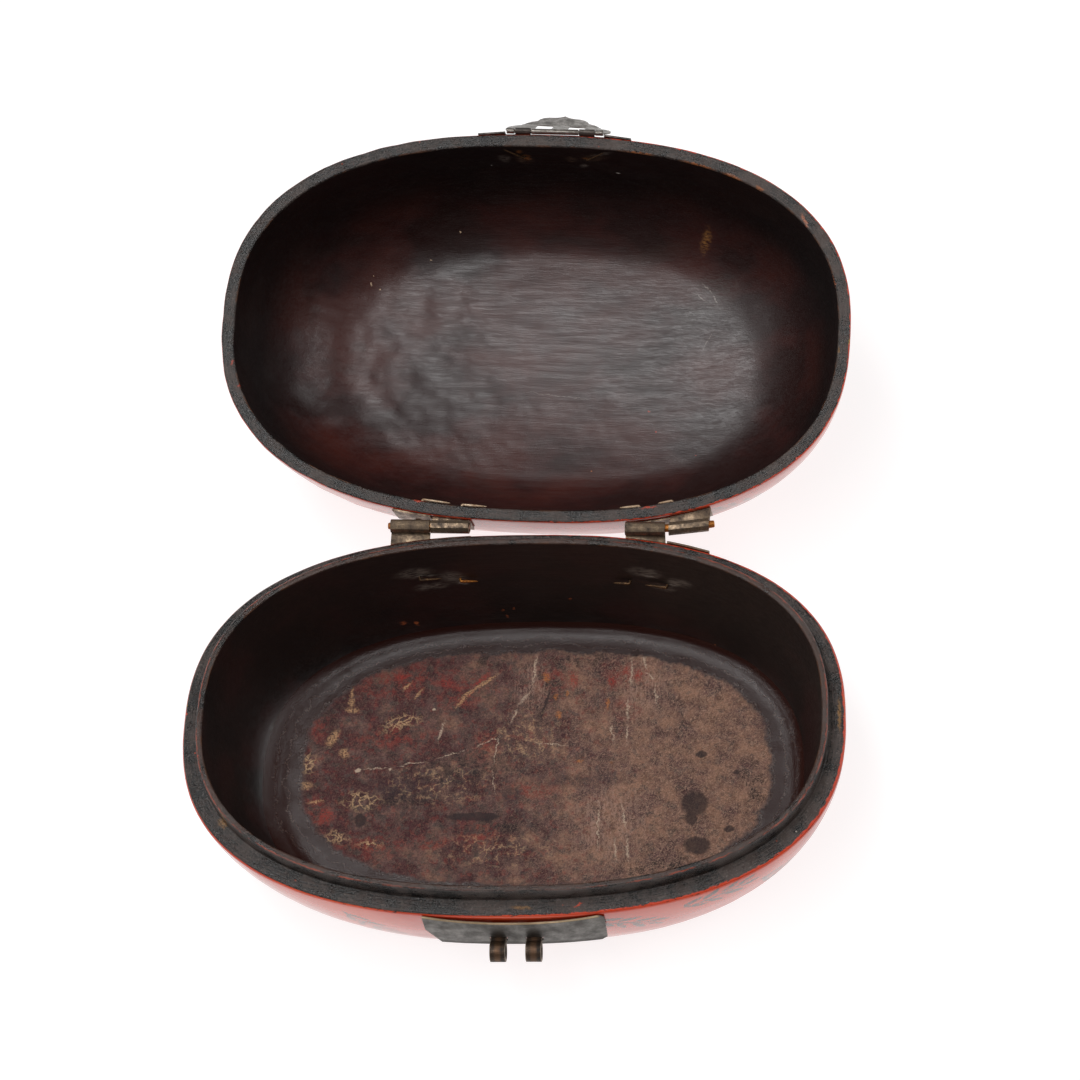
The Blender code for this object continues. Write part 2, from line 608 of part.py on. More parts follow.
def make_hasp(pivot):
    """A flap with a cloud edge, two slots for the loops and three rolled tabs."""
    right = cloud_edge()
    lines, tip = roll_lines(HASP_ROLL, HASP_SHEET, 0.0)
    notch = -(PLATE_ROLL + LID_PLATE_SHEET / 2 + TAB_GAP)
    inner = TAB_OFFSET - TAB_WIDTH / 2 - TAB_GAP
    outer = TAB_OFFSET + TAB_WIDTH / 2 + TAB_GAP
    end = outer + TAB_WIDTH / 2
    side = right + [Vector((end, -HASP_SHOULDER)), Vector((end, tip)), Vector((outer, tip)),
                    Vector((outer, notch)), Vector((inner, notch)), Vector((inner, tip))]
    mirrored = [Vector((-p.x, p.y)) for p in reversed(side[1:])]
    outline = [(p.x, p.y) for p in side + mirrored]
    windows = []
    for s in (-1, 1):
        u = s * LOOP_SPACING / 2
        windows.append((u - SLOT_WIDTH / 2, u + SLOT_WIDTH / 2, -SLOT_START - SLOT_LENGTH, -SLOT_START))
    front = Vector((0.0, -1.0, 0.0))

    def place(u, v):
        along = Vector((u, 0.0, 0.0))
        if v < 1e-6:
            drop = -v
            past = max(0.0, drop - HASP_BEND_START)
            drop -= past * (1.0 - math.cos(HASP_BEND))
            lift = HASP_TWIST * u * drop - past * math.sin(HASP_BEND)
            return HASP_POINT + along + front * (HASP_ROLL + lift) - UP * drop, front
        turn = v / HASP_ROLL
        radial = front * math.cos(turn) + UP * math.sin(turn)
        return HASP_POINT + along + radial * HASP_ROLL, radial

    creases = [0.0, -HASP_BEND_START / 3, -HASP_BEND_START] + lines[1:]
    bm = bent_sheet(outline, [], creases, windows, HASP_SHEET, place)
    return make_object("hasp", bm, GREY_METAL, pivot)


def pin_line(outer_wall, inner_wall, x, z, side, stand_off):
    """Where a clenched pin's head sits, where its shank comes out inside, and its way in."""
    head, normal = on_wall(outer_wall, x, z, side, stand_off)
    depth = 0.0
    for _ in range(8):
        inside = head - normal * depth
        depth += (inside.y - on_wall(inner_wall, inside.x, z, side)[0].y) / normal.y
    return head, head - normal * depth, -normal


def make_pin(name, outer_wall, inner_wall, x, z, side, sheet, leg, off_wall, pivot=None,
             r=PIN_SHANK_RADIUS):
    """Head, shank and one leg, as rings of points along the pin. r is the shank's radius."""
    stand_off = WALL_GAP + sheet + WALL_GAP
    head, exit_point, way = pin_line(outer_wall, inner_wall, x, z, side, stand_off)
    turn_at = exit_point + way * (WALL_GAP + off_wall)
    tip = on_wall(inner_wall, x + leg[0], z + leg[1], side, -(WALL_GAP + r + off_wall))[0]
    corner = turn_at + way * r
    leg_way = (tip - corner).normalized()
    across = way.cross(leg_way).normalized()
    bend = (leg_way + way).normalized()
    stations = [(head - way * PIN_HEAD_HEIGHT * rise, way, PIN_HEAD_RADIUS * share)
                for rise, share in PIN_DOME]
    stations += [(head, way, r), (turn_at, way, r), (corner + bend * LEG_BEND_OUT * r, bend, r),
                 (corner + leg_way * LEG_BEND_LENGTH * r, leg_way, r), (tip, leg_way, LEG_TIP * r)]
    rings = [ring_round(point, along, across, radius, PIN_SIDES) for point, along, radius in stations]
    return make_object(name, loft(rings), BRASS, pivot)


def add_bore(bm, outer_wall, inner_wall, x, z, side):
    """A round cutter for a clenched pin's hole through the wall."""
    head, exit_point, way = pin_line(outer_wall, inner_wall, x, z, side, 0.0)
    length = (exit_point - head).length + 2 * BORE_OVERRUN
    turn = Vector((0.0, 0.0, 1.0)).rotation_difference(way).to_matrix().to_4x4()
    bmesh.ops.create_cone(bm, cap_ends=True, segments=8, radius1=PIN_SHANK_RADIUS + PIN_GAP,
                          radius2=PIN_SHANK_RADIUS + PIN_GAP, depth=length,
                          matrix=Matrix.Translation((head + exit_point) / 2) @ turn)


def cut(body, bm, name, pivot=None):
    """Take the cutters in a mesh away from a body."""
    cutter = make_object(name, bm, IRON, pivot)
    cutter.hide_render = True
    cutter.display_type = "WIRE"
    modifier = body.modifiers.new("bores", "BOOLEAN")
    modifier.operation = "DIFFERENCE"
    modifier.object = cutter


def make_base_pins(base):
    bores = bmesh.new()
    for hinge in (LEFT_HINGE, RIGHT_HINGE):
        for place, (x, drop, leg) in zip(("left", "right"), hinge["base_pins"]):
            z = BASE_HEIGHT - drop
            make_pin(f"{hinge['name']}_base_pin_{place}", base_outside, base_inside, x, z, 1.0,
                     HINGE_SHEET, (leg, LEG_SLOPE), 0.0)
            add_bore(bores, base_outside, base_inside, x, z, 1.0)
    for side in (-1, 1):
        x = LOCK_MIDDLE + side * LOOP_SPACING / 2
        outer = on_wall(base_outside, x, BASE_HEIGHT, -1.0)[0].y
        inner = on_wall(base_inside, x, BASE_HEIGHT - LOOP_DROP, -1.0)[0].y
        size = Matrix.Diagonal((LOOP_WIDTH + 2 * LOOP_GAP, inner - outer + 2 * BORE_OVERRUN,
                                2 * LOOP_SHEET + LOOP_SLIT + 2 * LOOP_GAP, 1.0))
        middle = Matrix.Translation((x, (outer + inner) / 2, BASE_HEIGHT - LOOP_DROP))
        bmesh.ops.create_cube(bores, size=1.0, matrix=middle @ size)
    cut(base, bores, "base_bores")


def make_lid_pins(lid, pivot):
    bores = bmesh.new()
    for hinge in (LEFT_HINGE, RIGHT_HINGE):
        for place, (x, rise, leg) in zip(("left", "right"), hinge["lid_pins"]):
            z = LID_RIM_Z + rise
            make_pin(f"{hinge['name']}_lid_pin_{place}", lid_outside, lid_inside, x, z, 1.0,
                     HINGE_SHEET, (leg, LEG_SLOPE), LID_LEG_OFF_WALL, pivot)
            add_bore(bores, lid_outside, lid_inside, x, z, 1.0)
    z = LID_RIM_Z + LID_PLATE_PIN_RISE
    for name, side in (("left", -1), ("right", 1)):
        x = LOCK_MIDDLE + side * LID_PLATE_PIN_OFFSET
        leg = (side * LID_PLATE_LEG[0], LID_PLATE_LEG[1])
        make_pin(f"lid_plate_pin_{name}", lid_outside, lid_inside, x, z, -1.0,
                 LID_PLATE_SHEET + LID_PLATE_BOW, leg, 0.0, pivot,
                 LID_PLATE_SHANK_RADIUS)
        add_bore(bores, lid_outside, lid_inside, x, z, -1.0)
    cut(lid, bores, "lid_bores", pivot)


def make_hinge(hinge, lid_pivot):
    make_leaf(f"{hinge['name']}_base_leaf", hinge, False, None)
    make_leaf(f"{hinge['name']}_lid_leaf", hinge, True, lid_pivot)
    knee, way = lid_knuckle_line(hinge)
    beyond = KNUCKLE_LENGTH + hinge["play"] / 2 + hinge["proud"][1]
    points = [axis_point(hinge["start"] - hinge["proud"][0]), knee, knee + way * beyond]
    round_bar(f"{hinge['name']}_pin", points, HINGE_PIN_RADIUS, HINGE_PIN_SIDES, BRASS, lid_pivot)


def main():
    for obj in list(bpy.data.objects):
        bpy.data.objects.remove(obj, do_unlink=True)
    lid_pivot = make_pivot("lid_pivot", HINGE_POINT, HINGE_AXIS, -opening_angle())
    hasp_pivot = make_pivot("hasp_pivot", HASP_POINT, Vector((1.0, 0.0, 0.0)), -HASP_OPEN, lid_pivot)
    base = make_base()
    lid = make_lid(lid_pivot)
    for hinge in (LEFT_HINGE, RIGHT_HINGE):
        make_hinge(hinge, lid_pivot)
    make_base_pins(base)
    make_lid_pins(lid, lid_pivot)
    make_lock_plate()
    for name, side in (("left", -1), ("right", 1)):
        make_loop(f"lock_loop_{name}", LOCK_MIDDLE + side * LOOP_SPACING / 2)
    make_lid_plate(lid_pivot)
    make_hasp(hasp_pivot)
    reach = Vector((TAB_OFFSET + TAB_WIDTH + TAB_GAP, 0.0, 0.0))
    round_bar("hasp_pin", [HASP_POINT - reach, HASP_POINT + reach], HASP_PIN_RADIUS, HASP_PIN_SIDES,
              IRON, lid_pivot)


main()
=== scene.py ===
import json
import math

import bpy
import numpy as np
from mathutils import Matrix, Vector, noise


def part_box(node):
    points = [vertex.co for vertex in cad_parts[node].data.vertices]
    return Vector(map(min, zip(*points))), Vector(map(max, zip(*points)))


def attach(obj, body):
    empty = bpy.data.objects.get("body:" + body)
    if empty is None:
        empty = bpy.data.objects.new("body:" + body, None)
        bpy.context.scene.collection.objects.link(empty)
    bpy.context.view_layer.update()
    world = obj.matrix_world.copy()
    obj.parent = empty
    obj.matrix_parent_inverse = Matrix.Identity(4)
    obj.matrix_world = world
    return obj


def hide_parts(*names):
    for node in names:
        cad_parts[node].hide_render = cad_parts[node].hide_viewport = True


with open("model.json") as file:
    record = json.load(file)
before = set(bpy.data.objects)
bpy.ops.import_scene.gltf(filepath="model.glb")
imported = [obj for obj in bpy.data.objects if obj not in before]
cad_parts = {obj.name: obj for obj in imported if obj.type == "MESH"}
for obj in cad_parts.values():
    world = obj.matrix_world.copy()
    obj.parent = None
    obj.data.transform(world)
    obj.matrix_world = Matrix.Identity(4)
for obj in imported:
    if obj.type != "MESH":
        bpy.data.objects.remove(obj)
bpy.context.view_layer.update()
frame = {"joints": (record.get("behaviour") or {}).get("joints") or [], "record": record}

mm = 0.001

# The oval seen from above is |x/a|^power + |y/b|^power = 1, in metres
ovalShape = {
    "halfLength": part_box("base_body")[1].x,
    "halfWidth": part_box("base_body")[1].y,
    "power": 2.47,
    "sides": 288,
}


def jointNamed(name):
    return next(joint for joint in frame["joints"] if joint["name"] == name)


def turnAbout(joint, degrees):
    point = Vector(joint["pos_m"])
    turn = Matrix.Rotation(math.radians(degrees), 4, Vector(joint["axis"]))
    return Matrix.Translation(point) @ turn @ Matrix.Translation(-point)


# Lid pieces are modelled on the shut box and then swung open to where they rest
lidHinge = jointNamed("lid_hinge")
lidOpen = turnAbout(lidHinge, -lidHinge["range_deg"][1])
lidShut = lidOpen.inverted()


def fromHex(code):
    # An sRGB hex colour as linear red, green, blue and alpha
    parts = [int(code[i:i + 2], 16) / 255 for i in (1, 3, 5)]
    return (*[c / 12.92 if c <= 0.04045 else ((c + 0.055) / 1.055) ** 2.4 for c in parts], 1.0)


def addNode(tree, kind, inputs=None, stops=None, **settings):
    # One node with its settings, its links or values by socket, and its colour stops; a colour may be a
    # hex code
    node = tree.nodes.new("ShaderNode" + kind)
    for name, value in settings.items():
        setattr(node, name, value)
    for socket, value in (inputs or {}).items():
        if isinstance(value, bpy.types.NodeSocket):
            tree.links.new(value, node.inputs[socket])
        else:
            node.inputs[socket].default_value = fromHex(value) if isinstance(value, str) else value
    if stops:
        ramp = node.color_ramp
        while len(ramp.elements) < len(stops):
            ramp.elements.new(1.0)
        for element, (position, colour) in zip(ramp.elements, stops):
            element.position = position
            element.color = fromHex(colour) if isinstance(colour, str) else colour
    return node


def newMaterial(name):
    material = bpy.data.materials.new(name)
    material.use_nodes = True
    tree = material.node_tree
    return material, tree, tree.nodes["Principled BSDF"]


def paint(tree, under, share, over):
    # Lays one colour over another by a mask
    return addNode(tree, "Mix", {"Factor": share, 6: under, 7: over}, data_type="RGBA").outputs[2]


def times(tree, *values):
    product = values[0]
    for value in values[1:]:
        product = addNode(tree, "Math", {0: product, 1: value}, operation="MULTIPLY").outputs[0]
    return product


def addUp(tree, start, *parts):
    # A start plus each value times its share
    total = start
    for value, share in parts:
        total = addNode(tree, "Math", {0: value, 1: share, 2: total}, operation="MULTIPLY_ADD").outputs[0]
    return total


def fade(tree, value, start, end, low=0.0, high=1.0):
    # A smooth step from low at start to high at end
    return addNode(tree, "MapRange", {"Value": value, "From Min": start, "From Max": end,
                                      "To Min": low, "To Max": high},
                   interpolation_type="SMOOTHSTEP").outputs["Result"]


def grain(tree, where, size, stretch=(1, 1, 1), turn=0.0, detail=3.0, rough=0.55, shift=0.0):
    # Noise whose features are size metres across, drawn out by stretch and turned in plan
    turned = addNode(tree, "Mapping", {"Vector": where, "Rotation": (0, 0, math.radians(turn)),
                                       "Location": (shift, shift, shift),
                                       "Scale": [size * s for s in stretch]}, vector_type="TEXTURE")
    return addNode(tree, "TexNoise", {"Vector": turned.outputs[0], "Scale": 1.0, "Detail": detail,
                                      "Roughness": rough}).outputs["Fac"]


def marks(tree, where, places, soft=0.35):
    # A mask of ellipses, each given in mm by x, y, half length and half width, and by its turn if it has one
    nearest = None
    for x, y, long, wide, *turn in places:
        spot = addNode(tree, "Mapping", {"Vector": where, "Location": (x * mm, y * mm, 0),
                                         "Rotation": (0, 0, math.radians(sum(turn))),
                                         "Scale": (long * mm, wide * mm, 1)}, vector_type="TEXTURE")
        near = addNode(tree, "TexGradient", {"Vector": spot.outputs[0]}, gradient_type="SPHERICAL")
        near = near.outputs["Fac"]
        if nearest is not None:
            near = addNode(tree, "Math", {0: nearest, 1: near}, operation="MAXIMUM").outputs[0]
        nearest = near
    return fade(tree, nearest, 0.0, soft)


def alongLine(points, width):
    # A crooked line in mm as thin marks, one for each stretch
    return [((x0 + x1) / 2, (y0 + y1) / 2, math.hypot(x1 - x0, y1 - y0) / 2 + width, width,
             math.degrees(math.atan2(y1 - y0, x1 - x0))) for (x0, y0), (x1, y1) in zip(points, points[1:])]


def specks(tree, where, spacing, size, share, shift=0.0):
    # A mask of small round specks, in a share of the cells of a loose grid
    spot = addNode(tree, "Mapping", {"Vector": where, "Location": (shift, shift, shift),
                                     "Scale": (spacing, spacing, spacing)}, vector_type="TEXTURE")
    cells = addNode(tree, "TexVoronoi", {"Vector": spot.outputs[0], "Scale": 1.0})
    near = fade(tree, cells.outputs["Distance"], size / spacing, 0.5 * size / spacing)
    few = addNode(tree, "Math", {0: cells.outputs["Color"], 1: 1.0 - share}, operation="GREATER_THAN")
    return times(tree, near, few.outputs[0])


def wobble(tree, where, size, amount):
    # Coordinates pushed about by noise, for ragged outlines
    push = addNode(tree, "TexNoise", {"Vector": where, "Scale": 1.0 / size, "Detail": 3.0})
    centred = addNode(tree, "VectorMath", {0: push.outputs["Color"], 1: (0.5, 0.5, 0.5)},
                      operation="SUBTRACT")
    scaled = addNode(tree, "VectorMath", {0: centred.outputs[0], "Scale": amount}, operation="SCALE")
    return addNode(tree, "VectorMath", {0: where, 1: scaled.outputs[0]}, operation="ADD").outputs[0]


def ownPlace(tree, turnBack=None):
    # Object coordinates, turned back to the shut box for the pieces of the lid
    where = addNode(tree, "TexCoord").outputs["Object"]
    if turnBack:
        where = addNode(tree, "Mapping", {"Vector": where, "Location": turnBack.to_translation(),
                                          "Rotation": turnBack.to_euler()}).outputs[0]
    return where


def finishMaterial(tree, shader, colour, rough, height, depth, strength=1.0):
    tree.links.new(colour, shader.inputs["Base Color"])
    tree.links.new(rough, shader.inputs["Roughness"])
    bump = addNode(tree, "Bump", {"Height": height, "Distance": depth, "Strength": strength})
    tree.links.new(bump.outputs["Normal"], shader.inputs["Normal"])


# Painted sprays of narrow leaves, in mm on the wall: along the rim from the front middle, down from
# the rim's edge, and turn in degrees
spray = {
    "stem": [(0.0, 0.0, 18.0, 0.9, 6)],
    "leaves": [(-13.0, 3.6, 6.2, 2.0, 30), (-11.0, -3.4, 6.0, 1.8, -26), (-4.6, 5.0, 6.0, 2.1, 44),
               (-3.0, -4.6, 6.4, 1.8, -40), (4.4, 4.8, 5.6, 2.0, 36), (6.4, -4.0, 6.4, 2.1, -30),
               (12.6, 4.2, 5.4, 1.7, 22), (14.5, -2.0, 5.0, 1.6, -12), (-17.5, 0.4, 3.8, 1.5, 6)],
    "basePlaces": [(-352, 24, 20), (-300, 34, -38), (-248, 20, 24), (-205, 36, -30), (-158, 24, 34),
                   (-112, 42, -42), (-64, 30, -62), (56, 20, -30), (96, 10, 4), (132, 30, -40),
                   (182, 24, 30), (232, 36, -28), (284, 22, 26), (338, 34, -36)],
    "lidPlaces": [(-352, 24, 26), (-300, 44, -34), (-248, 22, 20), (-200, 46, -28), (-150, 24, 32),
                  (-98, 44, -36), (-52, 26, 18), (52, 40, -30), (98, 22, 28), (146, 46, -34),
                  (198, 24, 22), (250, 44, -26), (302, 22, 30), (352, 42, -32)],
    "paint": "#2b342d",
    "reach": 0.1,               # the deepest a spray's middle may lie below the rim, in metres
}


def paintedSprays(tree, along, across, places, length):
    # Finds the spray that is nearest along the rim, and draws the leaves round its middle
    reach = spray["reach"]
    halfways = [-0.5 * length] + [0.5 * mm * (a[0] + b[0]) for a, b in zip(places, places[1:])]
    stops = [(start / length + 0.5, (x * mm / length + 0.5, down * mm / reach, turn / 180 + 0.5, 1.0))
             for start, (x, down, turn) in zip(halfways, places)]
    table = addNode(tree, "ValToRGB", {"Fac": addUp(tree, 0.5, (along, 1.0 / length))}, stops)
    table.color_ramp.interpolation = "CONSTANT"
    place = addNode(tree, "SeparateColor", {"Color": table.outputs["Color"]})
    middle = times(tree, addUp(tree, -0.5, (place.outputs[0], 1.0)), length)
    angle = times(tree, addUp(tree, -0.5, (place.outputs[2], 1.0)), math.radians(-180))
    spot = addNode(tree, "CombineXYZ", {
        "X": addUp(tree, along, (middle, -1.0)),
        "Y": addUp(tree, times(tree, across, -1.0), (place.outputs[1], reach))})
    turned = addNode(tree, "VectorRotate", {"Vector": spot.outputs[0], "Angle": angle},
                     rotation_type="Z_AXIS")
    ragged = wobble(tree, turned.outputs[0], 3.5 * mm, 2.0 * mm)
    return marks(tree, ragged, spray["stem"] + spray["leaves"], 0.22)


# Cinnabar lacquer, polished: a deep clear gloss over vermilion, so it mirrors the floor at a glance
def makeCinnabarLacquer(name, places, length, shadowPlaces=()):
    material, tree, shader = newMaterial(name)
    coordinates = addNode(tree, "TexCoord")
    uv, thing = coordinates.outputs["UV"], coordinates.outputs["Object"]
    split = addNode(tree, "SeparateXYZ", {"Vector": uv})
    along, across = split.outputs["X"], times(tree, split.outputs["Y"], -1.0)
    red = addNode(tree, "ValToRGB", {"Fac": grain(tree, thing, 45 * mm, detail=4.0)},
                  [(0.32, "#b03014"), (0.5, "#c63e1c"), (0.68, "#d04c28")]).outputs["Color"]
    rubbed = fade(tree, grain(tree, thing, 1.6 * mm, detail=3.0, rough=0.7), 0.34, 0.50)
    leaf = times(tree, paintedSprays(tree, along, across, places, length), rubbed, 0.92)
    red = paint(tree, red, leaf, spray["paint"])
    nick = times(tree, fade(tree, across, 1.5 * mm, 0.2 * mm),
                 fade(tree, grain(tree, uv, 1.6 * mm, (1.7, 0.6, 1)), 0.56, 0.62),
                 fade(tree, grain(tree, thing, 30 * mm, shift=0.1), 0.44, 0.56))
    red = paint(tree, red, nick, "#1c1310")
    red = paint(tree, red, specks(tree, thing, 9 * mm, 0.5 * mm, 0.2), "#5c1c10")
    # painted shadow: the wall is darkened at the given places
    if shadowPlaces:
        paintedShadow = times(tree, marks(tree, wobble(tree, uv, 4 * mm, 2 * mm), shadowPlaces, 0.5), 0.7)
        red = paint(tree, red, paintedShadow, "#3a1810")
    rough = fade(tree, grain(tree, thing, 18 * mm, (3, 1, 1), 20), 0.3, 0.75, 0.12, 0.24)
    shader.inputs["IOR"].default_value = 1.48
    shader.inputs["Coat Weight"].default_value = 0.12
    shader.inputs["Coat Roughness"].default_value = 0.05
    finishMaterial(tree, shader, red, rough, grain(tree, thing, 6 * mm, detail=2.0), 0.03 * mm, 0.5)
    return material


# Black lacquer worn by the lid: matt streaks along the rim, with the red ground showing at its edges
rimWear = {"dark": "#0b0807", "ground": "#1c1613", "dull": "#4a3e39", "brown": "#36231b", "red": "#cf4020",
           "dust": "#857b74", "pale": "#b0a398", "lip": "#4c342b", "lipRed": "#9a4630", "bare": "#5c3a26",
           "rust": "#8a3c26"}


def makeRimLacquer(name, edges, chips, turnBack=None):
    # edges are metres across the rim: its outer and inner edge, and the lip's outer top edge; red gives
    # how far in the red ground shows at the left and the right end
    material, tree, shader = newMaterial(name)
    uv, thing = addNode(tree, "TexCoord").outputs["UV"], ownPlace(tree, turnBack)
    across = addNode(tree, "SeparateXYZ", {"Vector": uv}).outputs["Y"]
    x = addNode(tree, "SeparateXYZ", {"Vector": thing}).outputs["X"]
    streak = grain(tree, uv, 0.7 * mm, (24, 0.7, 1), detail=4.0, rough=0.65)
    dust = grain(tree, thing, 0.8 * mm, detail=3.0, rough=0.75)
    patch = grain(tree, thing, 14 * mm, detail=4.0)
    # lighter towards the right: painted light from the right, over streaks, dust and patches of wear
    worn = addUp(tree, fade(tree, x, -90 * mm, 140 * mm, -0.010, 0.026),
                 (streak, 0.32), (dust, 0.26), (patch, 0.42))
    stops = [(0.455, rimWear["dark"]), (0.495, rimWear["ground"]), (0.555, rimWear["dull"])]
    colour = addNode(tree, "ValToRGB", {"Fac": worn}, stops).outputs["Color"]
    brown = fade(tree, grain(tree, thing, 5 * mm, detail=4.0, shift=0.3), 0.50, 0.62)
    colour = paint(tree, colour, times(tree, brown, 0.5), rimWear["brown"])
    colour = paint(tree, colour, fade(tree, dust, 0.58, 0.68, 0.0, 0.5), rimWear["dust"])
    jagged = addUp(tree, -0.5, (grain(tree, uv, 1.5 * mm, (2.2, 0.8, 1), detail=5.0, rough=0.7), 1.0))
    if "lip" in edges:
        lipWear = times(tree, fade(tree, across, edges["lip"] + 0.1 * mm, edges["lip"] + 0.7 * mm),
                        fade(tree, grain(tree, thing, 16 * mm, detail=4.0, shift=0.5), 0.42, 0.54),
                        fade(tree, streak, 0.40, 0.54, 0.3, 0.8))
        colour = paint(tree, colour, lipWear, rimWear["lip"])
        offEdge = addUp(tree, -edges["lip"] - 0.2 * mm, (across, 1.0), (jagged, 2.4 * mm))
        offEdge = addNode(tree, "Math", {0: offEdge}, operation="ABSOLUTE")
        offMiddle = addNode(tree, "Math", {0: x}, operation="ABSOLUTE")
        dashes = grain(tree, uv, 4 * mm, (3.5, 1, 1), detail=4.0, rough=0.7, shift=0.2)
        dashes = times(tree, fade(tree, dashes, 0.44, 0.54),
                       fade(tree, offMiddle.outputs[0], 20 * mm, 70 * mm, 0.15, 1.0),
                       fade(tree, offEdge.outputs[0], 0.5 * mm, 0.1 * mm), 0.9)
        colour = paint(tree, colour, dashes, rimWear["lipRed"])
    outer = addUp(tree, across, (jagged, 3.6 * mm),
                  (fade(tree, x, -70 * mm, 60 * mm, edges["red"][0], edges["red"][1]), -1.0))
    colour = paint(tree, colour, fade(tree, outer, 0.12 * mm, -0.06 * mm), rimWear["red"])
    inner = addUp(tree, across, (jagged, -4.0 * mm))
    lost = times(tree, fade(tree, inner, edges["inner"] - 1.5 * mm, edges["inner"] - 0.5 * mm),
                 fade(tree, grain(tree, thing, 11 * mm, detail=3.0, shift=0.7), 0.52, 0.60), 0.75)
    colour = paint(tree, colour, lost, rimWear["bare"])
    ragged = wobble(tree, thing, 2.0 * mm, 2.8 * mm)
    for code, strength, places in chips:
        chip = times(tree, marks(tree, ragged, places, 0.6), fade(tree, dust, 0.38, 0.50), strength)
        colour = paint(tree, colour, chip, code)
    colour = paint(tree, colour, specks(tree, thing, 6 * mm, 0.55 * mm, 0.24), rimWear["rust"])
    colour = paint(tree, colour, specks(tree, thing, 8 * mm, 0.45 * mm, 0.24, 0.4), rimWear["pale"])
    shader.inputs["IOR"].default_value = 1.54
    finishMaterial(tree, shader, colour, fade(tree, worn, 0.46, 0.56, 0.25, 0.50),
                   addUp(tree, dust, (streak, 0.8)), 0.30 * mm)
    return material


# Brown-black lacquer brushed on lengthwise: thin, semi-gloss, with fine hairlines in its sheen. The lid's
# is painted darker at the wall, nearly black, as painted shade, and turns to maroon between two heights
insideTone = {"wall": ["#0d0706", "#160b09", "#240e0c"], "lidWallPaintedShade": ["#050202", "#0a0404", "#120605"],
              "crown": ["#28110f", "#371714", "#441d17"], "crownFrom": 100 * mm, "crownTo": 136 * mm,
              "worn": "#241815", "hair": "#40302c", "rust": "#9c5c34", "dust": "#b9aca2"}


def brushedLacquer(tree, thing, lid=False):
    broad = grain(tree, thing, 40 * mm, (1.6, 1, 1), detail=4.0)
    tone = {kind: addNode(tree, "ValToRGB", {"Fac": broad}, list(zip((0.42, 0.50, 0.60), insideTone[kind])))
            for kind in (("lidWallPaintedShade", "crown") if lid else ("wall",))}
    # the lid's wall tones are darker than the base's: painted shade
    colour = tone["lidWallPaintedShade" if lid else "wall"].outputs["Color"]
    if lid:
        height = addNode(tree, "SeparateXYZ", {"Vector": thing}).outputs["Z"]
        deep = fade(tree, height, insideTone["crownFrom"], insideTone["crownTo"])
        colour = paint(tree, colour, deep, tone["crown"].outputs["Color"])
    hair = grain(tree, thing, 0.45 * mm, (50, 1, 1), 1.5, detail=3.0, rough=0.75)
    stroke = grain(tree, thing, 2.2 * mm, (14, 1, 1), -2, detail=3.0)
    worn = fade(tree, grain(tree, thing, 24 * mm, detail=4.0, shift=0.2), 0.54, 0.66)
    colour = paint(tree, colour, times(tree, worn, 0.3), insideTone["worn"])
    colour = paint(tree, colour, fade(tree, hair, 0.52, 0.66, 0.0, 0.22), insideTone["hair"])
    colour = paint(tree, colour, specks(tree, thing, 13 * mm, 0.5 * mm, 0.14), insideTone["rust"])
    colour = paint(tree, colour, specks(tree, thing, 15 * mm, 0.42 * mm, 0.12, 0.6), insideTone["dust"])
    rough = addUp(tree, fade(tree, hair, 0.40, 0.62, 0.0, 0.14),
                  (fade(tree, stroke, 0.35, 0.65, 0.30, 0.40), 1.0))
    return colour, rough, addUp(tree, hair, (stroke, 0.8))


def makeInsideLacquer(name, floorMarks, wallMarks, turnBack=None):
    # Floor marks are placed in plan, wall marks along and across the rim, both in mm
    material, tree, shader = newMaterial(name)
    uv, thing = addNode(tree, "TexCoord").outputs["UV"], ownPlace(tree, turnBack)
    colour, rough, height = brushedLacquer(tree, thing, bool(turnBack))
    for where, groups in ((thing, floorMarks), (uv, wallMarks)):
        ragged = wobble(tree, where, 3 * mm, 3 * mm)
        scuff = fade(tree, grain(tree, where, 0.8 * mm, (7, 1, 1), 4, detail=4.0, rough=0.7), 0.42, 0.54)
        for code, strength, broken, places in groups:
            spot = times(tree, marks(tree, ragged, places, 0.8), strength)
            colour = paint(tree, colour, times(tree, spot, scuff) if broken else spot, code)
    shader.inputs["IOR"].default_value = 1.56
    finishMaterial(tree, shader, colour, rough, height, 0.14 * mm, 0.6)
    return material


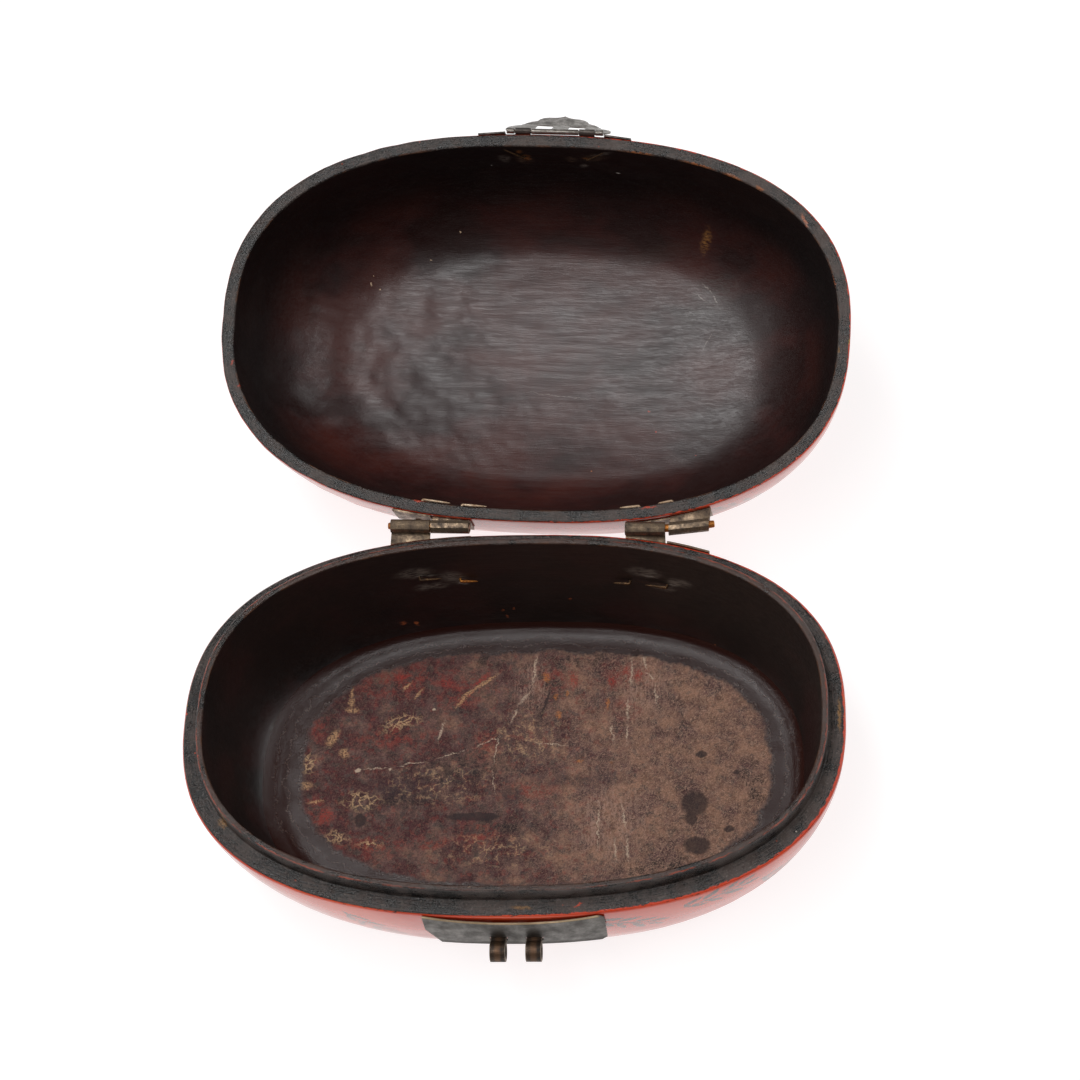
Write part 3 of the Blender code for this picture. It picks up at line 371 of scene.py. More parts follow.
# The floor's worn lining: what is left of felt and lacquer stuck to it, matt, hairy and stained.
# Places are in mm
liningPlaces = {
    "outline": (5, 4.5, 110, 60),      # middle and half sizes of the patch
    "power": 2.6,
    "redBrown": [(-60, 50, 36, 13, 8), (-30, 44, 20, 12, 30), (-98, -20, 9, 14), (-62, 20, 28, 10, 5),
                 (3, -8, 20, 7), (12, 50, 13, 12), (50, 52, 18, 10), (-42, -34, 15, 5),
                 (-18, 16, 14, 9, 60), (-100, 26, 8, 12), (48, 34, 9, 9), (-70, -36, 24, 9, 5),
                 (-20, -30, 16, 10)],
    "brightRed": [(-39, 48.5, 5.6, 3.4), (46.9, 54.4, 2.4, 3.2), (40.4, 48.6, 3.2, 4.6, 20),
                  (52.7, 51.7, 2.8, 5.6), (-22, 50.5, 9, 1.8, 42), (-60, 52, 6, 2.5, 10),
                  (-28, 42.5, 6, 1.2, 42), (22, 50, 3, 6, 10), (-92, -20, 5, 6)],
    "tan": alongLine([(-34, 35), (-28, 43), (-13.4, 54)], 1.4) + alongLine([(-33, 39.4), (-23.7, 46.8)], 1.1)
    + [(-104.5, -4.3, 6.5, 3.0), (-92, 20, 3, 7, -30), (-52, 43, 5, 1.2, 55), (-98, -13, 5, 1.4, 10),
       (-86, 12, 3, 4, 30), (-58, 47, 4, 1.0, 50), (-84.4, 44.5, 6.5, 1.1, 86), (-84.2, 39.0, 3.4, 2.2, 84),
       (-83.4, 34.6, 2.2, 4.4, 82)],
    "orange": [(8.8, 51.2, 2.2, 4.0, 20), (13.9, 40.5, 1.6, 2.6), (19.1, 42, 0.9, 2.6),
               (15.6, 31, 1.8, 3.0), (38.7, 37, 1.3, 4), (26.2, 6.9, 2.2, 1.2),
               (40.8, 6.2, 0.8, 0.7)],
    "pale": [(-44.2, 34.8, 1.0, 1.0), (-78.8, 3.2, 1.7, 1.2, 20), (-63.6, 3.5, 0.9, 0.8),
             (28, 67.3, 6, 1.8)],
    "cracks": [mark for points, width in (
        ([(-78.8, 3.2), (-62, 5), (-44, 8), (-26, 14), (-9.7, 20.7)], 0.5),
        ([(-41.8, 15.8), (-38.7, 30)], 0.8), ([(3.7, 16.9), (21.3, 15.2)], 0.6),
        ([(4, 65.7), (2.3, 44.3), (-4.1, 36.4), (-7.5, 25.9)], 0.9),
        ([(54.9, 65), (57, 53.2), (60.8, 48.9), (62.5, 32)], 0.8), ([(49.6, 64), (49.5, 43.8)], 0.7),
        ([(47.7, 40.1), (48.4, 26.9), (47.7, 15)], 0.75), ([(39.9, 28.1), (42, 15)], 0.7),
        ([(46, -13), (48.5, -30), (50, -46)], 0.7), ([(43, -30), (44, -46)], 0.6),
        ([(-12, 24), (-15, 4), (-13, -12)], 0.5), ([(36, -8), (35, -44)], 0.5),
    ) for mark in alongLine(points, width)],
    "dark": [(83.3, 10, 3.2, 2.0), (99.2, 0.6, 2, 1.5), (80, -15, 8.0, 7.4, -30),
             (78.5, -22.5, 3.4, 4.2), (81.3, -36.2, 7.5, 5.4), (-76.2, -22.6, 3.4, 4.4),
             (-23, -21, 16, 2.6), (96, -28, 3, 2)] + alongLine([(10.9, 44.2), (6.6, 28.4)], 0.9),
    "purple": [(27, -3, 30, 6.0), (-6, -10, 10, 5, 20), (-60, -6, 24, 8)],
    "lace": [(-76, -12.3, 13, 6), (-87, -31.6, 10, 5), (-70.7, -35, 9, 4), (-103, 8, 6, 9),
             (-60, 28, 14, 6, 20)],
    "net": [(-12, -38, 40, 14), (-40, -4, 40, 16), (0, 20, 30, 22)],
    "darkWash": [(-30, 4, 36, 13, 5), (-56, -12, 24, 9), (-8, -25, 24, 7), (12, 46, 8, 14, 20),
                 (64, -46, 26, 8, 10), (24, 60, 28, 6), (-96, 34, 10, 12, -30), (108, -10, 7, 20),
                 (-20, 60, 12, 4), (4, 34, 6, 10, 20)],
    "drips": [(40, -24, 26, 30), (56, 44, 16, 26), (2, 46, 12, 20)],
}


def makeWornLining(name):
    material, tree, shader = newMaterial(name)
    whole = addNode(tree, "TexCoord").outputs["Object"]
    thing = addNode(tree, "VectorMath", {0: whole, 1: (1, 1, 0)}, operation="MULTIPLY").outputs[0]
    under, underRough, _ = brushedLacquer(tree, whole)
    x = addNode(tree, "SeparateXYZ", {"Vector": thing}).outputs["X"]
    frayed = wobble(tree, thing, 1.9 * mm, 2.8 * mm)
    broadEdge = addNode(tree, "SeparateXYZ", {"Vector": wobble(tree, frayed, 12 * mm, 8 * mm)})
    middleX, middleY, halfX, halfY = [value * mm for value in liningPlaces["outline"]]
    reach = 0.0
    for axis, middle, half in (("X", middleX, halfX), ("Y", middleY, halfY)):
        share = addUp(tree, -middle / half, (broadEdge.outputs[axis], 1.0 / half))
        share = addNode(tree, "Math", {0: share}, operation="ABSOLUTE").outputs[0]
        share = addNode(tree, "Math", {0: share, 1: liningPlaces["power"]}, operation="POWER")
        reach = addUp(tree, reach, (share.outputs[0], 1.0))
    inside = fade(tree, reach, 1.03, 0.96)

    ragged = wobble(tree, thing, 9 * mm, 9 * mm)
    curly = wobble(tree, thing, 3 * mm, 4 * mm)
    mottle = grain(tree, thing, 5 * mm, detail=5.0, rough=0.72, shift=0.1)
    grit = grain(tree, thing, 0.9 * mm, detail=3.0, rough=0.8)
    # hairs lying two ways, a little coarse so that they show
    hair = grain(tree, curly, 0.45 * mm, (6, 1, 1), 62, detail=2.0, rough=0.7)
    cross = grain(tree, curly, 0.45 * mm, (5, 1, 1), -16, detail=2.0, rough=0.7, shift=0.5)
    # the ground goes from wine and grey-brown at the left to tan at the right
    patch = addUp(tree, -0.5, (grain(tree, thing, 16 * mm, detail=5.0, rough=0.65), 1.0))
    ground = addUp(tree, fade(tree, x, -90 * mm, 80 * mm, 0.10, 0.60), (patch, 3.0))
    stops = [(0.05, "#442124"), (0.28, "#533a38"), (0.52, "#6c4e44"), (0.85, "#866250")]
    colour = addNode(tree, "ValToRGB", {"Fac": ground}, stops).outputs["Color"]
    redWash = times(tree, marks(tree, ragged, liningPlaces["redBrown"], 0.9),
                    fade(tree, mottle, 0.44, 0.55), 0.9)
    colour = paint(tree, colour, redWash, "#6e2a24")
    redSpots = grain(tree, thing, 3.5 * mm, detail=4.0, rough=0.7, shift=0.9)
    redSpots = times(tree, fade(tree, redSpots, 0.54, 0.62), fade(tree, x, 75 * mm, 20 * mm), 0.5)
    colour = paint(tree, colour, redSpots, "#72302a")
    ashSpots = fade(tree, grain(tree, thing, 4.5 * mm, detail=4.0, rough=0.7, shift=0.4), 0.53, 0.62)
    colour = paint(tree, colour, times(tree, ashSpots, 0.6), "#463e3b")
    dark = times(tree, marks(tree, ragged, liningPlaces["darkWash"], 0.9),
                 fade(tree, mottle, 0.56, 0.44, 0.25, 1.0), 0.85)
    colour = paint(tree, colour, dark, "#2c2021")
    # light hairs over dark grit
    speckle = addUp(tree, 0.0, (mottle, 0.5), (grit, 0.5))
    shade = addNode(tree, "MapRange", {"Value": speckle, "From Min": 0.42, "From Max": 0.58,
                                       "To Min": 0.58, "To Max": 1.36}).outputs["Result"]
    darker = addNode(tree, "CombineColor", {0: shade, 1: shade, 2: shade})
    colour = addNode(tree, "Mix", {"Factor": 1.0, 6: colour, 7: darker.outputs[0]}, data_type="RGBA",
                     blend_type="MULTIPLY").outputs[2]
    light = addNode(tree, "Math", {0: fade(tree, hair, 0.50, 0.66), 1: fade(tree, cross, 0.52, 0.68)},
                    operation="MAXIMUM").outputs[0]
    colour = paint(tree, colour, times(tree, light, fade(tree, x, -30 * mm, 80 * mm, 0.20, 0.75)), "#b38f7a")
    drip = times(tree, fade(tree, grain(tree, frayed, 0.7 * mm, (1, 16, 1), detail=3.0), 0.50, 0.57),
                 marks(tree, ragged, liningPlaces["drips"], 0.8), 0.6)
    colour = paint(tree, colour, drip, "#a88676")
    for code, strength, soft, kind, where, broken in (
            ("#30242b", 0.65, 0.8, "purple", ragged, True), ("#2e2223", 0.80, 0.35, "dark", frayed, False),
            ("#98332a", 0.80, 0.8, "brightRed", frayed, True), ("#bd936c", 0.85, 0.7, "tan", frayed, True),
            ("#b8703a", 0.80, 0.7, "orange", frayed, True), ("#c0a993", 0.90, 0.5, "pale", frayed, False)):
        spot = times(tree, marks(tree, where, liningPlaces[kind], soft), strength)
        if broken:
            spot = times(tree, spot, fade(tree, grit, 0.42, 0.54))
        colour = paint(tree, colour, spot, code)
    # crackle 3 to 4 mm apart, tan where the lining has split
    split = wobble(tree, curly, 1.2 * mm, 1.6 * mm)
    cells = addNode(tree, "TexVoronoi", {"Vector": split, "Scale": 1.0 / (3.6 * mm)},
                    feature="DISTANCE_TO_EDGE")
    lace = times(tree, marks(tree, ragged, liningPlaces["lace"], 0.8), 0.85)
    net = times(tree, marks(tree, ragged, liningPlaces["net"], 0.9), fade(tree, mottle, 0.46, 0.58), 0.6)
    lace = addNode(tree, "Math", {0: lace, 1: net}, operation="MAXIMUM").outputs[0]
    lace = times(tree, fade(tree, cells.outputs["Distance"], 0.13, 0.03), lace, fade(tree, grit, 0.38, 0.52))
    colour = paint(tree, colour, lace, "#c4a079")
    lines = marks(tree, wobble(tree, curly, 1.2 * mm, 1.2 * mm), liningPlaces["cracks"], 0.8)
    colour = paint(tree, colour, times(tree, lines, fade(tree, grit, 0.40, 0.52), 0.85), "#c6ae98")
    # flaking lines run beside the patch, in the dark groove round it; their light colour is
    # partly a painted highlight for glints on the thin ridges there
    wave = addUp(tree, times(tree, grain(tree, thing, 7 * mm), 9.0), (reach, 40.0))
    wave = addNode(tree, "Math", {0: wave}, operation="SINE").outputs[0]
    flakeAndGlint = times(tree, fade(tree, wave, 0.84, 1.0), fade(tree, grit, 0.46, 0.58),
                  fade(tree, reach, 1.42, 1.25), 0.9)
    under = paint(tree, paint(tree, under, 0.8, "#30140f"), flakeAndGlint, "#5a4c46")
    rough = addNode(tree, "Mix", {"Factor": inside, 2: times(tree, underRough, 0.5), 3: 0.88},
                    data_type="FLOAT")
    finishMaterial(tree, shader, paint(tree, under, inside, colour), rough.outputs[0],
                   addUp(tree, hair, (grit, 1.6)), 0.16 * mm, 0.8)
    return material


# Old metals: each is patchy, dull where it has tarnished and brighter where hands and edges rub. Metallic
# and roughness go from the tarnished to the rubbed patches, and pits are a share of the bump
def makeOldMetal(name, codes, metallic, rough, patchSize, pits=0.5, fleck=0.45, details=None):
    material, tree, shader = newMaterial(name)
    thing = addNode(tree, "TexCoord").outputs["Object"]
    patch = grain(tree, thing, patchSize, detail=6.0, rough=0.7)
    stops = [(0.32 + 0.12 * i, code) for i, code in enumerate(codes)]
    colour = addNode(tree, "ValToRGB", {"Fac": patch}, stops).outputs["Color"]
    fine = grain(tree, thing, 0.55 * mm, detail=4.0, rough=0.75)
    colour = paint(tree, colour, fade(tree, fine, 0.50, 0.66, 0.0, fleck), codes[0])
    if details:
        colour = details(tree, thing, colour)
    tree.links.new(fade(tree, patch, 0.30, 0.60, metallic[0], metallic[1]), shader.inputs["Metallic"])
    finishMaterial(tree, shader, colour, fade(tree, patch, 0.35, 0.65, rough[1], rough[0]),
                   addUp(tree, patch, (fine, pits)), 0.12 * mm, 0.7)
    return material


def deselectAll():
    bpy.ops.object.select_all(action="DESELECT")


def workOn(piece):
    deselectAll()
    piece.select_set(True)
    bpy.context.view_layer.objects.active = piece


def placeByMatrix(piece, matrix):
    piece.matrix_world = matrix
    workOn(piece)
    bpy.ops.object.transform_apply(location=True, rotation=True, scale=True)


def applyModifier(piece, kind, **settings):
    modifier = piece.modifiers.new(kind.lower(), kind)
    for name, value in settings.items():
        setattr(modifier, name, value)
    workOn(piece)
    bpy.ops.object.modifier_apply(modifier=modifier.name)


def lean(depth, fullDepth, bulge):
    t = min(max(depth / fullDepth, 0.0), 1.0)
    return 1.0 - (1.0 - t ** bulge) ** (1.0 / bulge)


def pressedOval(stations, sides):
    # Starts from a filled circle, presses it to the first oval and extrudes it from station to station
    deselectAll()
    bpy.ops.mesh.primitive_circle_add(vertices=sides, radius=1, fill_type="NGON", calc_uvs=False)
    shell = bpy.context.object
    a, b, z, shift = stations[0]
    for vertex in shell.data.vertices:
        c, s = vertex.co.x, vertex.co.y
        vertex.co.x = math.copysign(abs(c) ** (2.0 / ovalShape["power"]), c) * a + shift
        vertex.co.y = math.copysign(abs(s) ** (2.0 / ovalShape["power"]), s) * b
        vertex.co.z = z
    bpy.ops.object.mode_set(mode="EDIT")
    bpy.ops.mesh.select_all(action="SELECT")
    for last, (a, b, z, shift) in zip(stations, stations[1:]):
        move = (shift - last[3], 0, z - last[2])
        bpy.ops.mesh.extrude_region_move(TRANSFORM_OT_translate={"value": move})
        bpy.ops.transform.resize(value=(a / last[0], b / last[1], 1), center_override=(shift, 0, z))
    bpy.ops.mesh.select_all(action="SELECT")
    bpy.ops.mesh.normals_make_consistent(inside=False)
    bpy.ops.object.mode_set(mode="OBJECT")
    return shell


def mapRoundTheRim(shell, stations, rimStation):
    # u runs round the rim from the front middle, v across the wall from the rim's outer edge, in metres
    sides = ovalShape["sides"]
    count = len(shell.data.vertices)
    places = np.empty(count * 3)
    shell.data.vertices.foreach_get("co", places)
    places = places.reshape(count, 3)
    rim = places[rimStation * sides:(rimStation + 1) * sides]
    steps = np.linalg.norm(np.roll(rim, -1, axis=0) - rim, axis=1)
    along = np.concatenate([[0.0], np.cumsum(steps)])
    length = float(along[-1])
    run = [0.0]
    for low, high in zip(stations, stations[1:]):
        run.append(run[-1] + math.hypot(high[1] - low[1], high[2] - low[2]))
    across = np.array(run) - run[rimStation]
    layer = shell.data.uv_layers.new(name="roundTheRim")
    corners = np.empty(len(shell.data.loops), dtype=int)
    shell.data.loops.foreach_get("vertex_index", corners)
    column, row = corners % sides, corners // sides
    for face in shell.data.polygons:
        span = column[face.loop_start:face.loop_start + face.loop_total]
        if face.loop_total == 4 and span.max() - span.min() > 1:
            column[face.loop_start:face.loop_start + 4] = np.where(span == 0, sides, span)
    uv = np.stack([along[column] - 0.5 * length, across[np.minimum(row, len(across) - 1)]], axis=1)
    layer.data.foreach_set("uv", uv.ravel())
    return length, [float(value) for value in across]


def roughen(shell, amounts, size, lumpy=None):
    # Pushes each ring's points a little along their normals, by its own amount, and more where it is lumpy
    sides = ovalShape["sides"]
    shell.data.update()
    normals = [vertex.normal.copy() for vertex in shell.data.vertices]
    for i, vertex in enumerate(shell.data.vertices):
        amount = amounts[i // sides]
        if amount and lumpy:
            amount *= lumpy(vertex.co)
        if amount:
            vertex.co += normals[i] * amount * noise.fractal(vertex.co / size, 0.9, 2.1, 3)


def finishShell(shell, name, node, body, zones, materials):
    # Materials by station: zones gives the first station of each further material
    sides = ovalShape["sides"]
    shell.name = name
    shell.data.name = name
    for material in materials:
        shell.data.materials.append(material)
    for face in shell.data.polygons:
        row = min(face.vertices) // sides
        face.material_index = sum(row >= zone for zone in zones)
    workOn(shell)
    bpy.ops.object.shade_smooth_by_angle(angle=math.radians(50))
    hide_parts(node)
    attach(shell, body)
    print(name, len(shell.data.polygons), "faces")


baseShape = {
    "height": 0.070,            # up to the ledge
    "floor": 0.009,
    "ledge": 0.0079,
    "lipThickness": 0.0029,
    "lipTop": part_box("base_body")[1].z,
    "leanEnds": 0.037, "leanSides": 0.020, "bulgeEnds": 1.65, "bulgeSides": 1.6,
    "hollowLeanEnds": 0.0190, "hollowLeanSides": 0.0100, "hollowBulge": 2.05,
    "floorShift": 0.006,        # the hollow's floor lies a little to the right
    "softRim": 0.0021, "softLip": 0.0009, "softCove": 0.0008,
    "coveWidth": 0.0075, "coveRise": 0.0018,       # the floor sweeps up a little all round before its wall
    "wallSteps": 28, "hollowSteps": 44, "coveSteps": 9, "floorSteps": 24, "roundSteps": 6,
    "linedSteps": 8,            # the lining's material starts this many rings before the cove
    "roughness": {"wall": 0.10 * mm, "ledge": 0.14 * mm, "floor": 0.30 * mm, "size": 14 * mm},
}


def baseStations():
    # The base's profile from its underside up the outside, over ledge and lip, down to the floor's middle
    shape = baseShape
    halfLength, halfWidth = ovalShape["halfLength"], ovalShape["halfWidth"]
    stations = []
    found = {}

    def add(inset, z, leanA=0.0, leanB=0.0, shift=0.0):
        stations.append((halfLength - inset - leanA, halfWidth - inset - leanB, z, shift))

    def outside(z):
        depth = shape["height"] - z
        return (shape["leanEnds"] * lean(depth, shape["height"], shape["bulgeEnds"]),
                shape["leanSides"] * lean(depth, shape["height"], shape["bulgeSides"]))

    def quarter(steps):
        return [0.5 * math.pi * i / steps for i in range(1, steps + 1)]

    add(0.006, 0.0, *outside(0.0))
    low, high = 0.0, shape["height"] - shape["softRim"]
    for i in range(shape["wallSteps"] + 1):
        z = low + (high - low) * (1.0 - math.cos(0.5 * math.pi * i / shape["wallSteps"]))
        add(0.0, z, *outside(z))
    soft = shape["softRim"]
    found["rim"] = len(stations) + shape["roundSteps"] // 2 - 1
    for turn in quarter(shape["roundSteps"]):
        add(soft * (1 - math.cos(turn)), high + soft * math.sin(turn))
    found["ledge"] = len(stations) - 1
    soft = shape["softCove"]
    for share in (0.15, 0.35, 0.6, 0.85):
        add(shape["softRim"] + (shape["ledge"] - shape["softRim"] - soft) * share, shape["height"])
    for turn in [0.0] + quarter(shape["roundSteps"]):
        add(shape["ledge"] - soft * (1 - math.sin(turn)), shape["height"] + soft * (1 - math.cos(turn)))
    soft, top = shape["softLip"], shape["lipTop"]
    for share in (0.3, 0.6, 0.85):
        add(shape["ledge"], shape["height"] + (top - soft - shape["height"]) * share)
    found["lip"] = len(stations) + shape["roundSteps"] // 2
    for turn in [0.0] + quarter(shape["roundSteps"]):
        add(shape["ledge"] + soft * (1 - math.cos(turn)), top - soft * (1 - math.sin(turn)))
    inner = shape["ledge"] + shape["lipThickness"]
    for turn in [0.0] + quarter(shape["roundSteps"]):
        add(inner - soft * (1 - math.sin(turn)), top - soft * (1 - math.cos(turn)))
    found["hollow"] = len(stations) - 1
    high = top - soft
    low = shape["floor"] + shape["coveRise"]
    for i in range(1, shape["hollowSteps"] - 1):
        z = high - (high - low) * math.sin(0.5 * math.pi * i / shape["hollowSteps"])
        share = lean(shape["height"] - z, shape["height"] - low, shape["hollowBulge"])
        add(inner, z, shape["hollowLeanEnds"] * share, shape["hollowLeanSides"] * share,
            shape["floorShift"] * share)
    found["floor"] = len(stations) - shape["linedSteps"]
    a, b, z, shift = stations[-1]
    for i in range(1, shape["coveSteps"] + 1):
        share = i / shape["coveSteps"]
        height = shape["floor"] + (z - shape["floor"]) * (1.0 - share) ** 3
        stations.append((a - shape["coveWidth"] * share, b - shape["coveWidth"] * share, height, shift))
    a, b, z, shift = stations[-1]
    for i in range(1, shape["floorSteps"] + 1):
        k = 1.0 - 0.985 * i / shape["floorSteps"]
        stations.append((a * k, b * k, z, shift))
    return stations, found


# Places in mm, seen from above: x to the right, y to the hinges
ledgeChips = [
    ("#c0401c", 1.0, [(149.0, -1.6, 0.8, 1.6), (-149.4, 4, 0.8, 2.4), (-143, -16, 0.8, 0.6),
                      (-140, -22, 0.9, 0.6, 30), (32.5, -90.2, 3.0, 0.6, 25), (-26, 88, 5, 0.5, 2),
                      (-60, 85.5, 4, 0.5, 12)]),
    ("#8f6634", 0.8, [(147.0, 0, 1.1, 10), (-127.5, -51, 3.4, 2.2, -40), (8, -91.5, 6, 1.2)]),
    ("#c8b020", 1.0, [(149.6, 8.4, 0.9, 1.8), (149.6, -0.5, 0.6, 1.0), (-149.7, 9, 0.5, 2.4)]),
    ("#a08a76", 0.8, [(-99, -80.5, 0.8, 0.6), (-86, -85, 0.7, 0.6), (-14, -86, 0.8, 0.6)]),
]
stations, found = baseStations()
baseShell = pressedOval(stations, ovalShape["sides"])
rimLength, across = mapRoundTheRim(baseShell, stations, found["rim"])
wear = baseShape["roughness"]
amounts = [wear["wall"]] * len(stations)
for i in range(found["ledge"], found["hollow"] + 1):
    amounts[i] = wear["ledge"]
for i in range(found["floor"], len(stations)):
    amounts[i] = wear["floor"]
amounts[0] = amounts[1] = 0.0
roughen(baseShell, amounts, wear["size"])
hollowHeights = [-station[2] / mm for station in stations[found["hollow"]:found["floor"]]]
hollowAcross = [value / mm for value in across[found["hollow"]:found["floor"]]]


def onBackWall(x, z, halfLong, halfTall, turn=0, narrowing=0.923):
    # A mark on the inside of the base's back wall, from mm along and up to mm along and across the rim
    v = float(np.interp(-z, hollowHeights, hollowAcross))
    u = math.copysign(0.5 * rimLength / mm, x) - x / narrowing
    return (u, v, halfLong, halfTall, turn)


baseWallMarks = [
    ("#857a70", 0.75, True, [onBackWall(*m) for m in (
        (-50, 58, 13, 6), (-33, 51, 10, 7, -20), (58, 58, 12, 6), (74, 54, 10, 5, 10), (-44, 45, 12, 4),
        (66, 47, 9, 4))]),
    ("#a89c92", 0.7, True, [onBackWall(*m) for m in (
        (-46, 54, 8, 1.6), (-29, 45, 4, 2), (60, 55, 7, 1.4), (71, 51, 4, 1.4))]),
    ("#2c1a12", 0.9, False, [onBackWall(*m) for m in (
        (-44, 53, 9, 1.2), (-24, 49, 6, 1.2), (57, 49, 7, 1.2), (66, 50, 7, 1.2))]),
    ("#a8552c", 0.9, True, [onBackWall(*m) for m in (
        (-66, 21, 2.4, 2), (-60, 19, 1.6, 2), (-15, 22, 1.5, 1), (-9, 23, 1, 1), (-14, 18, 1, 1),
        (20, 30, 1, 1))]),
]
# painted shadow on the wall at the rim above the lock plate, where the plate stands off the wall
shadowAbovePlate = [(4.5, 14, 42.5, 14.5)]      # round the lock plate
ledgeEdges = {"red": (-0.6 * mm, 0.6 * mm), "lip": across[found["lip"]], "inner": across[found["hollow"]]}
baseFinish = [makeCinnabarLacquer("cinnabarLacquerBase", spray["basePlaces"], rimLength, shadowAbovePlate),
              makeRimLacquer("wornBlackLacquerLedge", ledgeEdges, ledgeChips),
              makeInsideLacquer("brushedLacquerBase", [], baseWallMarks),
              makeWornLining("wornLiningFloor")]
zones = [found["rim"], found["hollow"], found["floor"]]
finishShell(baseShell, "base_shell", "base_body", "base", zones, baseFinish)

lidShape = {
    "rim": 0.0704,              # height of the rim when shut
    "height": 0.0847,
    "crown": 0.004, "hollowCrown": 0.016,
    "rimWidth": 0.006,
    "topThickness": 0.008,
    "leanEnds": 0.044, "leanSides": 0.034, "bulgeEnds": 1.8, "bulgeSides": 2.1,
    "hollowLeanEnds": 0.046, "hollowLeanSides": 0.036, "hollowBulge": 2.1,
    "softRim": 0.0010, "wallSteps": 36, "crownSteps": 18, "hollowSteps": 44, "roundSteps": 4,
    "roughness": {"wall": 0.10 * mm, "rim": 0.12 * mm, "hollow": 0.20 * mm, "size": 12 * mm},
}


def lidStations():
    # The lid's profile on the shut box: from the crown's middle down the outside, over the rim, up the hollow
    shape = lidShape
    halfLength, halfWidth = ovalShape["halfLength"], ovalShape["halfWidth"]
    stations = []
    found = {}

    def add(inset, z, leanA=0.0, leanB=0.0):
        stations.append((halfLength - inset - leanA, halfWidth - inset - leanB, z, 0.0))

    def outside(z):
        depth = z - shape["rim"]
        return (shape["leanEnds"] * lean(depth, shape["height"], shape["bulgeEnds"]),
                shape["leanSides"] * lean(depth, shape["height"], shape["bulgeSides"]))

    top = shape["rim"] + shape["height"]
    a, b = halfLength - shape["leanEnds"], halfWidth - shape["leanSides"]
    for i in range(shape["crownSteps"]):
        k = 0.015 + 0.985 * i / shape["crownSteps"]
        stations.append((a * k, b * k, top + shape["crown"] * (1.0 - k * k), 0.0))
    soft = shape["softRim"]
    low = shape["rim"] + soft
    for i in range(shape["wallSteps"] + 1):
        z = top - (top - low) * (1.0 - math.cos(0.5 * math.pi * i / shape["wallSteps"]))
        add(0.0, z, *outside(z))
    found["rim"] = len(stations) + shape["roundSteps"] // 2 - 1
    for i in range(1, shape["roundSteps"] + 1):
        turn = 0.5 * math.pi * i / shape["roundSteps"]
        add(soft * (1 - math.cos(turn)), low - soft * math.sin(turn))
    for share in (0.2, 0.4, 0.6, 0.8):
        add(soft + (shape["rimWidth"] - 2 * soft) * share, shape["rim"])
    for i in range(shape["roundSteps"] + 1):
        turn = 0.5 * math.pi * i / shape["roundSteps"]
        add(shape["rimWidth"] - soft * (1 - math.sin(turn)), shape["rim"] + soft * (1 - math.cos(turn)))
    found["hollow"] = len(stations) - 1
    # the hollow is rounder than the outside: one crown runs under its wall and its floor alike
    hollow = shape["height"] - shape["topThickness"] + shape["crown"] - shape["hollowCrown"]
    top = shape["rim"] + hollow
    widest = halfLength - shape["rimWidth"]
    for i in range(1, shape["wallSteps"] + 1):
        z = low + (top - low) * math.sin(0.5 * math.pi * i / shape["wallSteps"])
        share = lean(z - shape["rim"], hollow, shape["hollowBulge"])
        k = 1.0 - shape["hollowLeanEnds"] * share / widest
        add(shape["rimWidth"], z + shape["hollowCrown"] * (1.0 - k * k), shape["hollowLeanEnds"] * share,
            shape["hollowLeanSides"] * share)
    a, b, _, shift = stations[-1]
    for i in range(1, shape["hollowSteps"] + 1):
        k = 1.0 - 0.985 * i / shape["hollowSteps"]
        bowl = shape["hollowCrown"] * (1.0 - (k * a / widest) ** 2)
        stations.append((a * k, b * k, top + bowl, shift))
    return stations, found


# Places in mm on the shut box, seen from above; marks on the wall are along and across the rim
rimChips = [
    ("#9a5a30", 0.9, [(-108, -79.5, 3.5, 1.4, -22), (-90, -85, 5, 1.2, -14), (-130, -63.5, 2.6, 1.8, -42),
                      (-99, -83, 3, 0.8, -18), (75, -82, 9, 1.0, 14), (91, -76.5, 6, 1.6, 24),
                      (104, -71.5, 2.5, 1, 30), (46, -87.5, 8, 0.8, 6)]),
    ("#b0694a", 0.9, [(126, -56, 1.0, 5, -30), (141, -26, 0.9, 4, -12), (143, -14, 0.8, 2.6, -5)]),
    ("#b23a1c", 0.9, [(-143.4, 23.2, 0.8, 1.6), (-138.5, 34.5, 1.0, 1.8, 20), (-48, 87.5, 4, 0.7, 4),
                      (60, 86.5, 5, 0.7, -6)]),
    ("#c8b020", 0.9, [(149.5, 2.7, 0.6, 1.8)]),
    ("#8f6634", 0.8, [(144.9, 7.2, 0.7, 2.0)]),
]
lidFloorMarks = [
    ("#4d4542", 0.55, True, [(81, -41, 18, 13, -20), (70, -30, 14, 8, -30)]),
    ("#a99d94", 0.7, True, alongLine([(74, -47), (80, -41), (83, -36)], 0.6)
     + alongLine([(71, -42), (77, -37)], 0.5)),
    ("#9a6a38", 0.8, True, [(76, -64, 3.4, 6.5, 18)]),
    ("#34201a", 0.5, False, [(52, -60, 22, 6, -10)]),
    ("#d8b898", 1.0, False, [(-48, -67, 0.8, 0.6), (-92, -40, 0.5, 0.9), (-88, -38, 0.5, 0.5),
                             (-91, -44, 0.5, 0.5), (-63, -54, 0.7, 0.5), (-71, -92, 0.7, 0.5)]),
    ("#b04030", 1.0, False, [(51, 19, 0.7, 0.6), (55, 30, 0.6, 0.5), (76, 42, 0.5, 0.5)]),
    ("#8a7d76", 0.5, True, alongLine([(82, -25), (75, -10)], 0.5) + alongLine([(-20, 10), (30, 14)], 0.4)),
]
